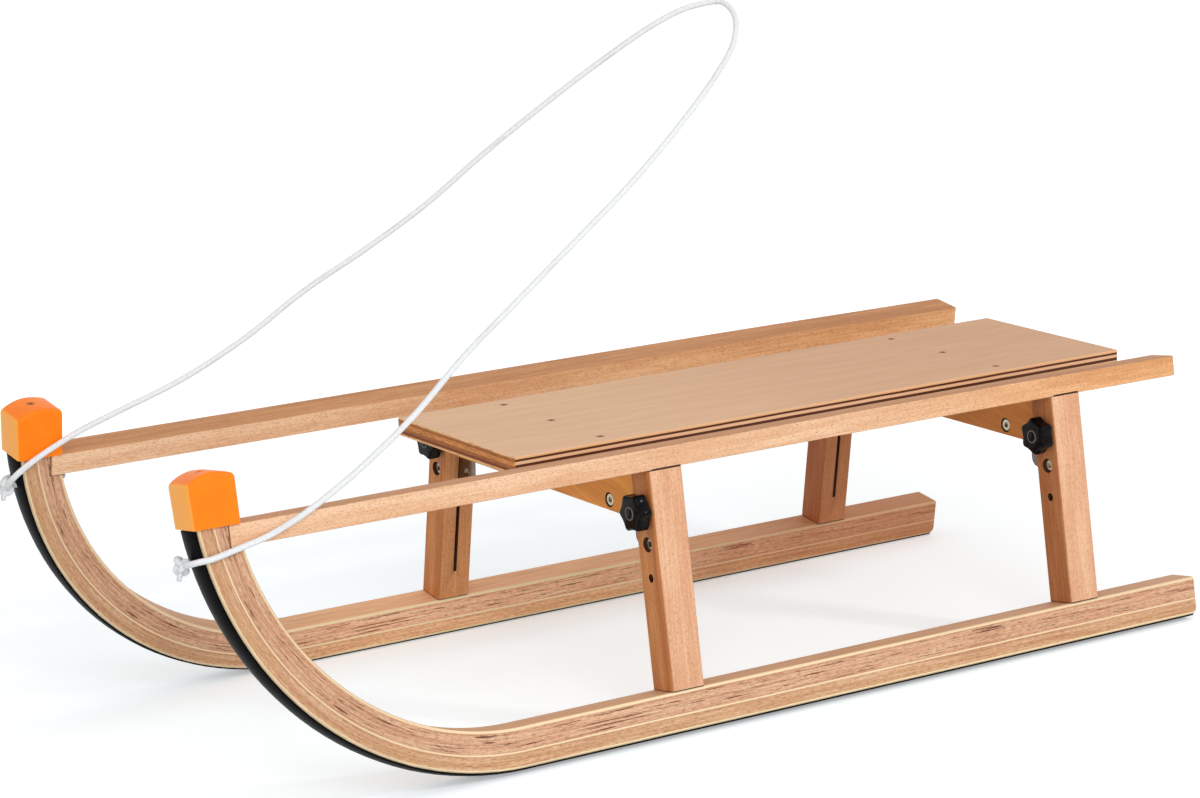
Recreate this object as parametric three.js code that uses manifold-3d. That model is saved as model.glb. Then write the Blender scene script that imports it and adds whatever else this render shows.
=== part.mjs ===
// A wooden sledge whose two side frames fold in under its seat, after four star knobs are loosened.
// Millimetres. +Z is up and the horns point to -X, so the left side is -Y and the right side is +Y.
// The origin is on the ground, under the middle of the sledge without its pull rope.
import * as THREE from 'three';
import { mergeVertices } from 'three/addons/utils/BufferGeometryUtils.js';
import Module from 'manifold-3d';

const wasm = await Module();
wasm.setup();

// Whole sledge
const overallLength = 1104;
const standWidth = 425; // between the middles of the two side frames, at the ground
const splay = THREE.MathUtils.degToRad(8.6); // each side frame leans in at the top by this much
const fit = 0.3; // gap between pieces that rest on or in each other
const overrun = 5; // how far a cut runs past the piece that it opens
const roundSides = 16; // facets of a round piece or hole that shows
const hiddenSides = 8; // and of one inside the wood
const cornerSteps = 3;

// Runner, which bends up into the horn
const runnerWidth = 32;
const runnerThickness = 37.5;
const bendRadius = 264.5; // inside of the bend
const hornRise = 36.3; // the horn's wood reaches this far above the rail
const bendSteps = 30;
const woodEase = 1.5; // width of the chamfer along the wood's edges
const heelRadius = 6; // lower rear corner of a runner
const toeRadius = 2; // its upper rear corner

// Sole strip
const soleWidth = 27;
const soleCrown = 3.7; // thickness at its middle
const soleEdge = 1.4; // thickness at its edges
const soleSetback = 3; // from the runner's rear end
const soleSlant = 3; // its rear end leans forward by this much
const soleCapGap = 1.5; // between its top end and the horn cap
const soleSteps = 4;

// Legs
const legDepth = 36; // along X
const legLength = 207.1; // between runner and rail
const frontLegInset = 108; // from the seat's front edge to the middle of the front legs
const rearLegInset = 144.3; // and from its rear edge to the middle of the rear ones
const legEdgeRadius = 2;
const legOuterEdgeRadius = 3.5; // the front edge on the outside
const footTenonRadius = 8;
const footTenonLength = 16;
const headTenonRadius = 4.5;
const headTenonLength = 10;
const headTenonSpacing = 20;

// Saw kerf in each leg, open to the inside and to the top
const kerfWidth = 4;
const kerfWall = 5.5; // wood left between the kerf and the leg's outer face
const kerfStart = 26.5; // above the runner, on the inner face
const kerfRise = 12; // the kerf's end slopes up by this much towards its floor

// Rail
const railThickness = 18.5;
const railInset = 2; // it stands this much further in than the legs
const railNotch = 34.4; // from the cap's front to the notch that holds the rail
const railEase = 1.2; // width of the chamfer along its edges
const railCorner = 2; // radius of its end corners, seen from the side

// Horn cap
const capWall = 2.1;
const capSideWall = 2.3;
const capScrewSink = 0.6; // the screw's head under the cap's crown
const capDome = 11.6; // crown of the cap above the wood
const capFrontDrop = 7.6; // the dome's front edge lies this far below its crown
const capRearDrop = 4.8;
const capCrownShare = 0.56; // place of the crown, as a share of the cap's length from its front
const capDomeSteps = 8;
const capEdgeRadius = 2.6;
const capEdgeSteps = 3;

// Fold, knob and lock holes, in line down each leg
const pivotHeight = 178.1; // along the leg, above the ground
const holeSpacing = 31.3;
const boreRadius = 3.3; // holes for the shanks
const counterboreRadius = 7.25;
const pivotCounterbore = 8; // depth
const crossbarCounterbore = 4;

// Barrel screws at the pivots and in the crossbars
const shankRadius = 3;
const pivotHeadRadius = 5;
const pivotHeadHeight = 5;
const crossbarHeadRadius = 5.5;
const crossbarHeadHeight = 3;
const socketRadius = 2.9;
const socketDepth = 2.2;

// Star knob, its stud and the threaded inserts
const studRadius = 3.8;
const studLength = 46;
const studPlug = 10; // length of the stud inside the knob
const insertRadius = 6;
const insertLength = 12;
const knobRadius = 18;
const knobWaist = 14.4; // radius between two lobes
const knobLobes = 6;
const knobThickness = 13;
const knobEase = 2;
const knobStepsPerLobe = 6;
const hubRadius = 7.5;
const hubHeight = 2.5;
const knobDiscRadius = 6.5;
const knobDiscRise = 0.7;
const frontKnobTurn = 0; // a lobe points sideways
const rearKnobTurn = Math.PI / knobLobes; // a lobe points up

// Hinge plate, from the crossbar's slot into the leg's kerf
const plateThickness = 3.4;
const plateEye = 10; // radius about the pivot
const plateTailLength = 85.9; // from the pivot to its inner end
const plateTailBottom = 17; // heights are above the pivot
const plateTailTop = 36.9;
const plateShoulder = 42; // distance of its top corner from the pivot
const plateShoulderLength = 14;
const plateShoulderSlope = 20;
const plateHookEdge = 42.9; // distance of its inner upright edge from the pivot
const plateFillet = 6;
const plateCorner = 9;
const plateBoltInset = 11.3; // the crossbar screw, from the plate's inner end
const plateBoltHeight = 26.2;
const plateArcSteps = 6;

// Crossbars and seat
const crossbarThickness = 18.5;
const crossbarHeight = 46.6;
const crossbarLegGap = 2.5;
const foldGap = 0.4; // under the crossbar when a leg is folded, and round the plate in its slot
const seatLength = 729;
const seatWidth = 209.2;
const seatThickness = 17.5;
const seatCorner = 2;
const seatEase = 0.8;
const seatScrewEdge = 20; // from the seat's side edges
const screwSides = 10;

// Countersunk screws
const seatScrew = { head: 4.2, headDepth: 2.6, shank: 2.1, length: 38, tip: 5 };
const capScrew = { head: 3.6, headDepth: 2.2, shank: 1.8, length: 32, tip: 4 };

// Pull rope, knotted through a hole in each horn
const ropeRadius = 2.9;
const ropeSides = 8;
const ropeStep = 17; // length of one step of its tube
const tieStep = 6; // and of the tight loop through the horn
const ropeHoleGap = 0.5;
const ropeHoleHeight = 237; // along the frame
const knotRadius = 9.5;
const knotSides = 10;
const knotRows = 6;
const knotOffset = { left: 5, right: 0 }; // towards +Y of the horn's middle
const tieBulge = 4; // how far the loop behind the horn stands off it
const tieSlack = 0.8; // and beside it

// Heights along a side frame, from the lowest line of the sole strip
const woodBottom = soleCrown + fit;
const runnerTop = woodBottom + runnerThickness;
const railBottom = runnerTop + legLength;
const railTop = railBottom + railThickness;
const capBottom = railTop + fit;
const hornTop = railTop + hornRise;
const capCrown = hornTop + capDome;
const bendOuterRadius = bendRadius + runnerThickness;
const bendHeight = woodBottom + bendOuterRadius;

// Places along the sledge
const rearEnd = overallLength / 2;
const seatFront = rearEnd - seatLength;
const frontLegX = seatFront + frontLegInset;
const rearLegX = rearEnd - rearLegInset;
const halfWidth = runnerWidth / 2;
const capFront = -overallLength / 2;
const notchX = capFront + railNotch;

// How far a face of the runner lies in front of the middle of the bend's circle; above that it stands upright
const reachAt = (radius, height) => Math.sqrt(radius ** 2 - Math.max(0, bendHeight - height) ** 2);
const bendX = capFront + capWall + reachAt(bendOuterRadius, hornTop);
const capRear = bendX - reachAt(bendRadius, hornTop) + capWall;
const capLength = capRear - capFront;
const capScrewX = capFront + capLength / 2;

// The rope's hole runs straight back through the horn, below the rail
const ropeFront = bendX - reachAt(bendOuterRadius + fit + soleCrown, ropeHoleHeight);
const ropeWoodFront = bendX - reachAt(bendOuterRadius, ropeHoleHeight);
const ropeBack = bendX - reachAt(bendRadius, ropeHoleHeight);

// Sole strip's section: offset across the runner, and depth below the wood
const soleDrop = soleCrown - soleEdge;
const crownRadius = ((soleWidth / 2) ** 2 + soleDrop ** 2) / (2 * soleDrop);
const crownAngle = Math.asin(soleWidth / 2 / crownRadius);
const soleSection = [[-soleWidth / 2, 0]];
for (let i = 0; i <= soleSteps; i++) {
  const angle = crownAngle * (2 * i / soleSteps - 1);
  soleSection.push([crownRadius * Math.sin(angle), crownRadius * (Math.cos(angle) - 1) + soleCrown]);
}
soleSection.push([soleWidth / 2, 0]);

// The tilted strip stands on its inner half, so the frames are lifted until that line is the ground
const lowest = soleSection.map(([across, depth]) =>
  Math.cos(splay) * (soleCrown - depth) + Math.sin(splay) * across);
const lift = -Math.min(...lowest);

// Fold axis, seen along X
const pivotY = standWidth / 2 - Math.sin(splay) * pivotHeight;
const pivotZ = Math.cos(splay) * pivotHeight + lift;
const crossbarBottom = pivotZ + halfWidth + foldGap;
const crossbarTop = crossbarBottom + crossbarHeight;
const seatTop = crossbarTop + fit + seatThickness;
const seatScrewYs = [-seatWidth / 2 + seatScrewEdge, 0, seatWidth / 2 - seatScrewEdge];
const plateTopRise = plateShoulder * Math.cos(splay);
const boltY = pivotY - plateTailLength + plateBoltInset;

// Distance from the sledge's middle plane to a line of the side frame that lies across from its middle
function frameY(across, z) {
  const height = z - lift - Math.sin(splay) * across;
  return standWidth / 2 + Math.cos(splay) * across - Math.tan(splay) * height;
}

// Geometry helpers

function arcPoints(x, y, radius, from, to, steps) {
  const points = [];
  for (let i = 0; i <= steps; i++) {
    const angle = from + (to - from) * i / steps;
    points.push(new THREE.Vector2(x + radius * Math.cos(angle), y + radius * Math.sin(angle)));
  }
  return points;
}

// Rectangle with four rounded corners: lower left, lower right, upper right, upper left
function roundedRectangle(x0, x1, y0, y1, [r0, r1, r2, r3]) {
  const quarter = Math.PI / 2;
  return [
    ...arcPoints(x0 + r0, y0 + r0, r0, 2 * quarter, 3 * quarter, cornerSteps),
    ...arcPoints(x1 - r1, y0 + r1, r1, 3 * quarter, 4 * quarter, cornerSteps),
    ...arcPoints(x1 - r2, y1 - r2, r2, 0, quarter, cornerSteps),
    ...arcPoints(x0 + r3, y1 - r3, r3, quarter, 2 * quarter, cornerSteps),
  ];
}

// Extrusion centred on the outline's plane, with chamfered or rounded edges where ease is not zero
function slab(points, thickness, ease = 0, easeSteps = 1) {
  const geometry = new THREE.ExtrudeGeometry(new THREE.Shape(points), {
    depth: thickness - 2 * ease,
    steps: 1,
    bevelEnabled: ease > 0,
    bevelThickness: ease,
    bevelSize: ease,
    bevelOffset: -ease,
    bevelSegments: easeSteps,
  });
  return geometry.translate(0, 0, ease - thickness / 2);
}

// An outline drawn as (x, z) is turned to stand along the sledge, one drawn as (y, z) to stand across it
const alongSledge = (geometry) => geometry.rotateX(Math.PI / 2);
const acrossSledge = (geometry) => geometry.rotateX(Math.PI / 2).rotateZ(Math.PI / 2);

const cylinderX = (radius, length, sides = roundSides) =>
  new THREE.CylinderGeometry(radius, radius, length, sides).rotateZ(Math.PI / 2);
const cylinderZ = (radius, length, sides = roundSides) =>
  new THREE.CylinderGeometry(radius, radius, length, sides).rotateX(Math.PI / 2);

// Body turned about Z from a profile of [radius, z], listed upwards
function turned(profile, sides = roundSides) {
  const points = profile.map(([radius, z]) => new THREE.Vector2(radius, z));
  return new THREE.LatheGeometry(points, sides).rotateX(Math.PI / 2);
}

// Skin over a row of equal rings, closed at both ends
function loft(rings) {
  const count = rings[0].length;
  const last = (rings.length - 1) * count;
  const indices = [];
  for (let start = 0; start < last; start += count) {
    for (let i = 0; i < count; i++) {
      const a = start + i;
      const b = start + (i + 1) % count;
      indices.push(a, b + count, b, a, a + count, b + count);
    }
  }
  for (let i = 1; i < count - 1; i++) {
    indices.push(0, i, i + 1, last, last + i + 1, last + i);
  }
  const geometry = new THREE.BufferGeometry();
  geometry.setAttribute('position', new THREE.Float32BufferAttribute(rings.flat(2), 3));
  geometry.setIndex(indices);
  return geometry;
}

function toSolid(geometry) {
  const bare = geometry.clone();
  bare.deleteAttribute('normal');
  bare.deleteAttribute('uv');
  const merged = mergeVertices(bare);
  const corners = merged.index.array;
  const kept = [];
  for (let i = 0; i < corners.length; i += 3) {
    const [a, b, c] = [corners[i], corners[i + 1], corners[i + 2]];
    if (a !== b && b !== c && c !== a) kept.push(a, b, c);
  }
  return new wasm.Manifold(new wasm.Mesh({
    numProp: 3,
    vertProperties: new Float32Array(merged.attributes.position.array),
    triVerts: new Uint32Array(kept),
  }));
}

function toGeometry(solid) {
  const mesh = solid.getMesh();
  const geometry = new THREE.BufferGeometry();
  geometry.setAttribute('position', new THREE.BufferAttribute(mesh.vertProperties, 3));
  geometry.setIndex(new THREE.BufferAttribute(mesh.triVerts, 1));
  return geometry;
}

function cut(geometry, tools) {
  let solid = toSolid(geometry);
  for (const tool of tools) solid = solid.subtract(toSolid(tool));
  return toGeometry(solid);
}

function join(geometry, others) {
  let solid = toSolid(geometry);
  for (const other of others) solid = solid.add(toSolid(other));
  return toGeometry(solid);
}

// Materials, one for each mesh

const beech = () => new THREE.MeshStandardMaterial({ color: 0xdeaa7d, roughness: 0.55 });
const legBeech = () => new THREE.MeshStandardMaterial({ color: 0xe0ab85, roughness: 0.6 });
const seatPly = () => new THREE.MeshStandardMaterial({ color: 0xd9b08f, roughness: 0.6 });
const varnishedPly = () => new THREE.MeshStandardMaterial({ color: 0xce8f3e, roughness: 0.4 });
const orangePlastic = () => new THREE.MeshStandardMaterial({ color: 0xff8a10, roughness: 0.4 });
const blackPlastic = () => new THREE.MeshStandardMaterial({ color: 0x26222a, roughness: 0.35 });
const steel = () => new THREE.MeshStandardMaterial({ color: 0xb8bcc0, roughness: 0.3, metalness: 1 });
const brass = () => new THREE.MeshStandardMaterial({ color: 0xc2a35a, roughness: 0.4, metalness: 1 });
const cord = () => new THREE.MeshStandardMaterial({ color: 0xe1e4e8, roughness: 0.8 });

function node(name, geometry, material) {
  const mesh = new THREE.Mesh(geometry, material);
  mesh.name = name;
  return mesh;
}

// Fasteners

// Countersunk screw that points down from its head's top at z = 0; with a gap, the hole that it sits in
function screw(size, gap = 0) {
  const bottom = [[0, -size.length - gap], [size.shank + gap, gap - size.length + size.tip]];
  const neck = [size.shank + gap, -size.headDepth];
  const rim = [size.head + gap, 0];
  const top = gap > 0 ? [[size.head + gap, overrun], [0, overrun]] : [[0, 0]];
  return turned([...bottom, neck, rim, ...top], screwSides);
}

// Barrel screw along X with a head at both ends and a socket in the front one
function barrelScrew(headRadius, headHeight, shankLength) {
  const half = shankLength / 2;
  const head = (x) => cylinderX(headRadius, headHeight).translate(x, 0, 0);
  const seat = half + headHeight / 2 - fit;
  const socket = cylinderX(socketRadius, 2 * socketDepth, 6).translate(-half - headHeight, 0, 0);
  const body = join(cylinderX(shankRadius, shankLength, hiddenSides), [head(-seat), head(seat)]);
  return cut(body, [socket.translate(fit, 0, 0)]);
}

// Stepped hole along X: a bore through the middle and a counterbore at both faces
function steppedBore(thickness, counterboreDepth) {
  const bore = cylinderX(boreRadius, thickness + 2 * overrun, hiddenSides);
  const length = counterboreDepth + overrun;
  const centre = thickness / 2 - counterboreDepth + length / 2;
  return [
    bore,
    cylinderX(counterboreRadius, length).translate(-centre, 0, 0),
    cylinderX(counterboreRadius, length).translate(centre, 0, 0),
  ];
}

// Side frame pieces, drawn with x along the sledge, z up the leaning frame and y out of its plane.
// side is -1 for the left frame and 1 for the right one, so side * y points outwards.

const bendPoint = (radius, angle) =>
  new THREE.Vector2(bendX - radius * Math.sin(angle), bendHeight - radius * Math.cos(angle));

const bendAngleAt = (radius, height) => Math.acos(Math.min(1, Math.max(0, bendHeight - height) / radius));

// Up a face of the runner between two heights, along the bend and then upright
function hornFace(radius, from, to) {
  const start = bendAngleAt(radius, from);
  const sweep = bendAngleAt(radius, to) - start;
  const steps = Math.ceil(bendSteps * sweep / (Math.PI / 2));
  const points = [new THREE.Vector2(bendX - reachAt(radius, from), from)];
  for (let i = 1; i <= steps; i++) points.push(bendPoint(radius, start + sweep * i / steps));
  if (to > bendHeight) points.push(new THREE.Vector2(bendX - radius, to));
  return points;
}

const ropeHole = (y) => cylinderX(ropeRadius + ropeHoleGap, ropeBack - ropeFront + 2 * overrun)
  .translate((ropeFront + ropeBack) / 2, y, ropeHoleHeight);

const capScrewTool = (gap) => screw(capScrew, gap).translate(capScrewX, 0, capCrown - capScrewSink);

function runner(knotY) {
  const outline = [
    ...arcPoints(rearEnd - heelRadius, woodBottom + heelRadius, heelRadius, -Math.PI / 2, 0, cornerSteps),
    ...arcPoints(rearEnd - toeRadius, runnerTop - toeRadius, toeRadius, 0, Math.PI / 2, cornerSteps),
    ...hornFace(bendRadius, runnerTop, railBottom - fit),
    new THREE.Vector2(notchX, railBottom - fit),
    new THREE.Vector2(notchX, railTop + fit),
    ...hornFace(bendRadius, railTop + fit, hornTop),
    ...hornFace(bendOuterRadius, woodBottom, hornTop).reverse(),
  ];
  const mortise = (x) => {
    const depth = footTenonLength + fit;
    return cylinderZ(footTenonRadius + fit, depth + overrun, hiddenSides)
      .translate(x, 0, runnerTop + overrun - (depth + overrun) / 2);
  };
  return cut(alongSledge(slab(outline, runnerWidth, woodEase)), [
    mortise(frontLegX),
    mortise(rearLegX),
    ropeHole(knotY),
    capScrewTool(fit),
  ]);
}

function soleStrip(knotY) {
  const top = capBottom - soleCapGap;
  const sweep = bendAngleAt(bendOuterRadius + fit, top);
  const onHorn = (pointAt) => soleSection.map(([across, depth]) => {
    const point = pointAt(bendOuterRadius + fit + depth);
    return [point.x, across, point.y];
  });
  const straight = (x, slant) => soleSection.map(([across, depth]) =>
    [x - slant * depth / soleCrown, across, soleCrown - depth]);
  const rings = [straight(rearEnd - soleSetback, soleSlant)];
  for (let i = 0; i <= bendSteps; i++) {
    rings.push(onHorn((radius) => bendPoint(radius, sweep * i / bendSteps)));
  }
  if (top > bendHeight) rings.push(onHorn((radius) => new THREE.Vector2(bendX - radius, top)));
  return cut(loft(rings), [ropeHole(knotY)]);
}

function rail(side) {
  const outline = roundedRectangle(notchX + fit, rearEnd, railBottom, railTop,
    [railCorner, railCorner, railCorner, railCorner]);
  const width = runnerWidth + railInset;
  const board = alongSledge(slab(outline, width, railEase)).translate(0, -side * railInset / 2, 0);
  const depth = headTenonLength + fit;
  const mortises = [frontLegX, rearLegX].flatMap((legX) => [-1, 1].map((half) =>
    cylinderZ(headTenonRadius + fit, depth + overrun, hiddenSides)
      .translate(legX + half * headTenonSpacing / 2, 0, railBottom + (depth - overrun) / 2)));
  return cut(board, mortises);
}

function leg(side) {
  const half = legDepth / 2;
  const outer = legOuterEdgeRadius;
  const inner = legEdgeRadius;
  const radii = side < 0 ? [outer, inner, inner, inner] : [inner, inner, inner, outer];
  const length = legLength - 2 * fit;
  const post = slab(roundedRectangle(-half, half, -halfWidth, halfWidth, radii), length)
    .translate(0, 0, runnerTop + fit + length / 2);
  const bottom = runnerTop + fit;
  const top = railBottom - fit;
  const foot = cylinderZ(footTenonRadius, footTenonLength + overrun, hiddenSides)
    .translate(0, 0, bottom - footTenonLength + (footTenonLength + overrun) / 2);
  const head = (end) => cylinderZ(headTenonRadius, headTenonLength + overrun, hiddenSides)
    .translate(end * headTenonSpacing / 2, 0, top + headTenonLength - (headTenonLength + overrun) / 2);
  const body = join(post, [foot, head(-1), head(1)]);

  const floor = side * (halfWidth - kerfWall);
  const mouth = -side * (halfWidth + overrun);
  const kerf = acrossSledge(slab([
    new THREE.Vector2(mouth, runnerTop + kerfStart),
    new THREE.Vector2(floor, runnerTop + kerfStart + kerfRise),
    new THREE.Vector2(floor, top + overrun),
    new THREE.Vector2(mouth, top + overrun),
  ], kerfWidth));

  const pivot = steppedBore(legDepth, pivotCounterbore)
    .map((tool) => tool.translate(0, 0, pivotHeight));
  const studHoles = [holeSpacing, -holeSpacing].flatMap((rise) => {
    const front = cylinderX(studRadius + fit, half + overrun).translate(-half / 2 - overrun / 2, 0, 0);
    const through = cylinderX(studRadius + fit, half + overrun, hiddenSides).translate(half / 2, 0, 0);
    const pocket = cylinderX(insertRadius + fit, insertLength + overrun, hiddenSides)
      .translate(half - insertLength + (insertLength + overrun) / 2 - fit, 0, 0);
    return [front, through, pocket].map((tool) => tool.translate(0, 0, pivotHeight + rise));
  });
  return cut(body, [kerf, ...pivot, ...studHoles]);
}

// Threaded insert in the rear half of a leg, for the knob's stud
function insert() {
  const half = insertLength / 2;
  const bore = studRadius + fit;
  const profile = [[bore, -half], [insertRadius, -half], [insertRadius, half], [bore, half], [bore, -half]];
  const ring = turned(profile, hiddenSides);
  return ring.rotateY(Math.PI / 2).translate(legDepth / 2 - half, 0, 0);
}

function hornCap() {
  const crownX = capFront + capCrownShare * capLength;
  const skirt = capBottom - overrun;
  const cavity = alongSledge(slab([
    ...hornFace(bendRadius - fit, skirt, hornTop + fit),
    ...hornFace(bendOuterRadius + fit, skirt, hornTop + fit).reverse(),
  ], runnerWidth + 2 * fit));

  const outline = [
    new THREE.Vector2(bendX - reachAt(bendOuterRadius + capWall, skirt), skirt),
    new THREE.Vector2(bendX - reachAt(bendRadius - capWall, skirt), skirt),
  ];
  for (let i = 0; i <= capDomeSteps; i++) {
    const x = capRear - capLength * i / capDomeSteps;
    const behind = x > crownX;
    const reach = behind ? capRear - crownX : crownX - capFront;
    const drop = (behind ? capRearDrop : capFrontDrop) * ((x - crownX) / reach) ** 2;
    outline.push(new THREE.Vector2(x, capCrown - drop));
  }
  const width = runnerWidth + 2 * fit + 2 * capSideWall;
  const shell = alongSledge(slab(outline, width, capEdgeRadius, capEdgeSteps));
  const below = new THREE.BoxGeometry(2 * capLength, 2 * runnerWidth, 2 * overrun)
    .translate(capScrewX, 0, capBottom - overrun);
  return cut(shell, [below, cavity, capScrewTool(fit)]);
}

// Knob, with its stud's axis along X and the leg's front face at x = 0

function knobHead(turn) {
  const outline = [];
  const steps = knobLobes * knobStepsPerLobe;
  const middle = (knobRadius + knobWaist) / 2;
  const swing = (knobRadius - knobWaist) / 2;
  for (let i = 0; i < steps; i++) {
    const angle = 2 * Math.PI * i / steps;
    const radius = middle + swing * Math.cos(knobLobes * angle);
    outline.push(new THREE.Vector2(radius * Math.cos(angle + turn), radius * Math.sin(angle + turn)));
  }
  const face = -fit - hubHeight - knobThickness;
  const star = acrossSledge(slab(outline, knobThickness, knobEase)).translate(face + knobThickness / 2, 0, 0);
  const hub = cylinderX(hubRadius, hubHeight + overrun).translate(-fit - (hubHeight + overrun) / 2, 0, 0);
  const disc = cylinderX(knobDiscRadius, knobDiscRise + overrun)
    .translate(face - knobDiscRise + (knobDiscRise + overrun) / 2, 0, 0);
  const socketFlats = (studRadius + fit) / Math.cos(Math.PI / hiddenSides); // its flats clear a turning stud
  const socket = cylinderX(socketFlats, 2 * (studPlug + fit), hiddenSides);
  return cut(join(star, [hub, disc]), [socket]);
}

const knobStud = () =>
  cylinderX(studRadius, studLength, hiddenSides).translate(studLength / 2 - studPlug, 0, 0);

// Deck pieces, drawn in the sledge's own directions

function crossbar(x) {
  const slope = (z) => frameY(-halfWidth - crossbarLegGap, z);
  const outline = [
    new THREE.Vector2(-slope(crossbarBottom), crossbarBottom),
    new THREE.Vector2(slope(crossbarBottom), crossbarBottom),
    new THREE.Vector2(slope(crossbarTop), crossbarTop),
    new THREE.Vector2(-slope(crossbarTop), crossbarTop),
  ];
  const tools = [];
  for (const side of [-1, 1]) {
    const slotEnd = pivotY - plateTailLength - foldGap;
    const slotLength = slope(crossbarBottom) + overrun - slotEnd;
    const slotTop = pivotZ + plateTopRise + foldGap;
    const slotHeight = slotTop - crossbarBottom + overrun;
    tools.push(new THREE.BoxGeometry(kerfWidth, slotLength, slotHeight)
      .translate(0, side * (slotEnd + slotLength / 2), slotTop - slotHeight / 2));
    for (const tool of steppedBore(crossbarThickness, crossbarCounterbore)) {
      tools.push(tool.translate(0, side * boltY, pivotZ + plateBoltHeight));
    }
  }
  for (const y of seatScrewYs) tools.push(screw(seatScrew, fit).translate(0, y, seatTop));
  return cut(acrossSledge(slab(outline, crossbarThickness)), tools).translate(x, 0, 0);
}

// Outline as (distance outwards from the pivot, height above it)
function hingePlate(side) {
  const up = splay + Math.PI / 2; // direction of the leg, seen from the pivot
  const seat = studRadius + fit;
  const inside = holeSpacing - seat;
  const knobX = holeSpacing * Math.cos(up);
  const knobZ = holeSpacing * Math.sin(up);
  const lean = Math.acos(plateEye / inside);
  const shoulderX = plateShoulder * Math.cos(up);
  const outline = [
    new THREE.Vector2(-plateTailLength, plateTailBottom),
    ...arcPoints(-plateHookEdge - plateFillet, plateTailBottom - plateFillet, plateFillet,
      Math.PI / 2, 0, cornerSteps),
    ...arcPoints(-plateHookEdge + plateCorner, plateCorner - plateEye, plateCorner,
      Math.PI, 3 * Math.PI / 2, cornerSteps),
    ...arcPoints(0, 0, plateEye, -Math.PI / 2, splay, plateArcSteps),
    ...arcPoints(0, 0, inside, splay + lean, up, cornerSteps),
    ...arcPoints(knobX, knobZ, seat, up + Math.PI, up, plateArcSteps).slice(1),
    new THREE.Vector2(shoulderX, plateTopRise),
    new THREE.Vector2(shoulderX - plateShoulderLength, plateTopRise),
    new THREE.Vector2(shoulderX - plateShoulderLength - plateShoulderSlope, plateTailTop),
    new THREE.Vector2(-plateTailLength, plateTailTop),
  ];
  const mirrored = outline.map((point) => new THREE.Vector2(side * point.x, point.y));
  const bolt = cylinderX(boreRadius, 2 * overrun, hiddenSides)
    .translate(0, side * (plateBoltInset - plateTailLength), plateBoltHeight);
  const lock = cylinderX(seat, 2 * overrun).translate(0, -side * holeSpacing, 0);
  const pivot = cylinderX(boreRadius, 2 * overrun, hiddenSides);
  return cut(acrossSledge(slab(mirrored, plateThickness)), [pivot, bolt, lock]);
}

function seatBoard() {
  const half = seatWidth / 2;
  const corners = [seatCorner, seatCorner, seatCorner, seatCorner];
  const outline = roundedRectangle(seatFront, rearEnd, -half, half, corners);
  const board = slab(outline, seatThickness, seatEase).translate(0, 0, seatTop - seatThickness / 2);
  const holes = [frontLegX, rearLegX].flatMap((x) => seatScrewYs.map((y) =>
    screw(seatScrew, fit).translate(x, y, seatTop)));
  return cut(board, holes);
}

// Pull rope

// Tube that stops just short of both ends of its route
function ropeTube(route, step) {
  const inward = (end, next) => next.clone().sub(end).setLength(fit / 2).add(end);
  const points = [inward(route[0], route[1]), ...route.slice(1, -1), inward(route.at(-1), route.at(-2))];
  const curve = new THREE.CatmullRomCurve3(points);
  const section = new THREE.Shape(arcPoints(0, 0, ropeRadius, 0, 2 * Math.PI, ropeSides).slice(0, ropeSides));
  const steps = Math.round(curve.getLength() / step);
  return new THREE.ExtrudeGeometry(section, { steps, extrudePath: curve, bevelEnabled: false });
}

// Loop from the knot back through the horn, round its +Y face and forward into the knot again
function ropeKnot(knotY) {
  const beside = halfWidth + ropeRadius + tieSlack;
  const behind = ropeBack + ropeRadius + tieBulge;
  const knotX = ropeFront - fit - knotRadius;
  const loop = [
    [knotX, knotY],
    [ropeFront, knotY],
    [(ropeFront + ropeBack) / 2, knotY],
    [ropeBack, knotY],
    [behind, knotY + ropeRadius],
    [behind, halfWidth - ropeRadius / 2],
    [behind - ropeRadius, beside],
    [ropeWoodFront, beside],
    [ropeFront - ropeRadius, halfWidth],
    [knotX, knotY],
  ].map(([x, y]) => new THREE.Vector3(x, y, ropeHoleHeight));
  const centre = loop[0];
  const ball = new THREE.SphereGeometry(knotRadius, knotSides, knotRows)
    .translate(centre.x, centre.y, centre.z);
  return join(ball, [ropeTube(loop, tieStep)]);
}

// Hand-chosen points of the rope from each knot: the lead beside the horn, then the free strand to the top.
// Their x is counted from the front of the horns.
const ropeRoute = {
  left: {
    lead: [
      [-5, -183, 237], [-4, -189, 239], [1, -194, 241], [12, -196, 242],
      [35, -195, 246], [69, -194, 253], [101, -192, 264], [121, -191, 273],
    ],
    strand: [
      [121, -191, 273], [163, -188, 295], [223, -183, 333], [281, -177, 378], [344, -172, 421],
      [409, -164, 463], [476, -153, 505], [541, -138, 549], [602, -117, 592], [630, -102, 614],
      [645, -86, 632], [650, -73, 641], [650, -63, 646], [648, -56, 648], [646, -54, 648],
    ],
  },
  right: {
    lead: [
      [-6, 166, 237], [-8, 160, 241], [-6, 153, 248], [6, 151, 257], [22, 150, 266],
    ],
    strand: [
      [22, 150, 266], [59, 147, 283], [94, 145, 295], [164, 139, 319], [228, 131, 351],
      [287, 120, 390], [347, 103, 426], [402, 84, 464], [451, 61, 508], [499, 35, 550],
      [548, 7, 591], [595, -23, 628], [620, -38, 642], [634, -46, 646], [644, -52, 648], [646, -54, 648],
    ],
  },
};

const routePoints = (list) => list.map(([x, y, z]) => new THREE.Vector3(capFront + x, y, z));

// Assembly

const sledge = new THREE.Group();
const legPlaces = { front: frontLegX, rear: rearLegX };
const knobTurns = { front: frontKnobTurn, rear: rearKnobTurn };

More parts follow.
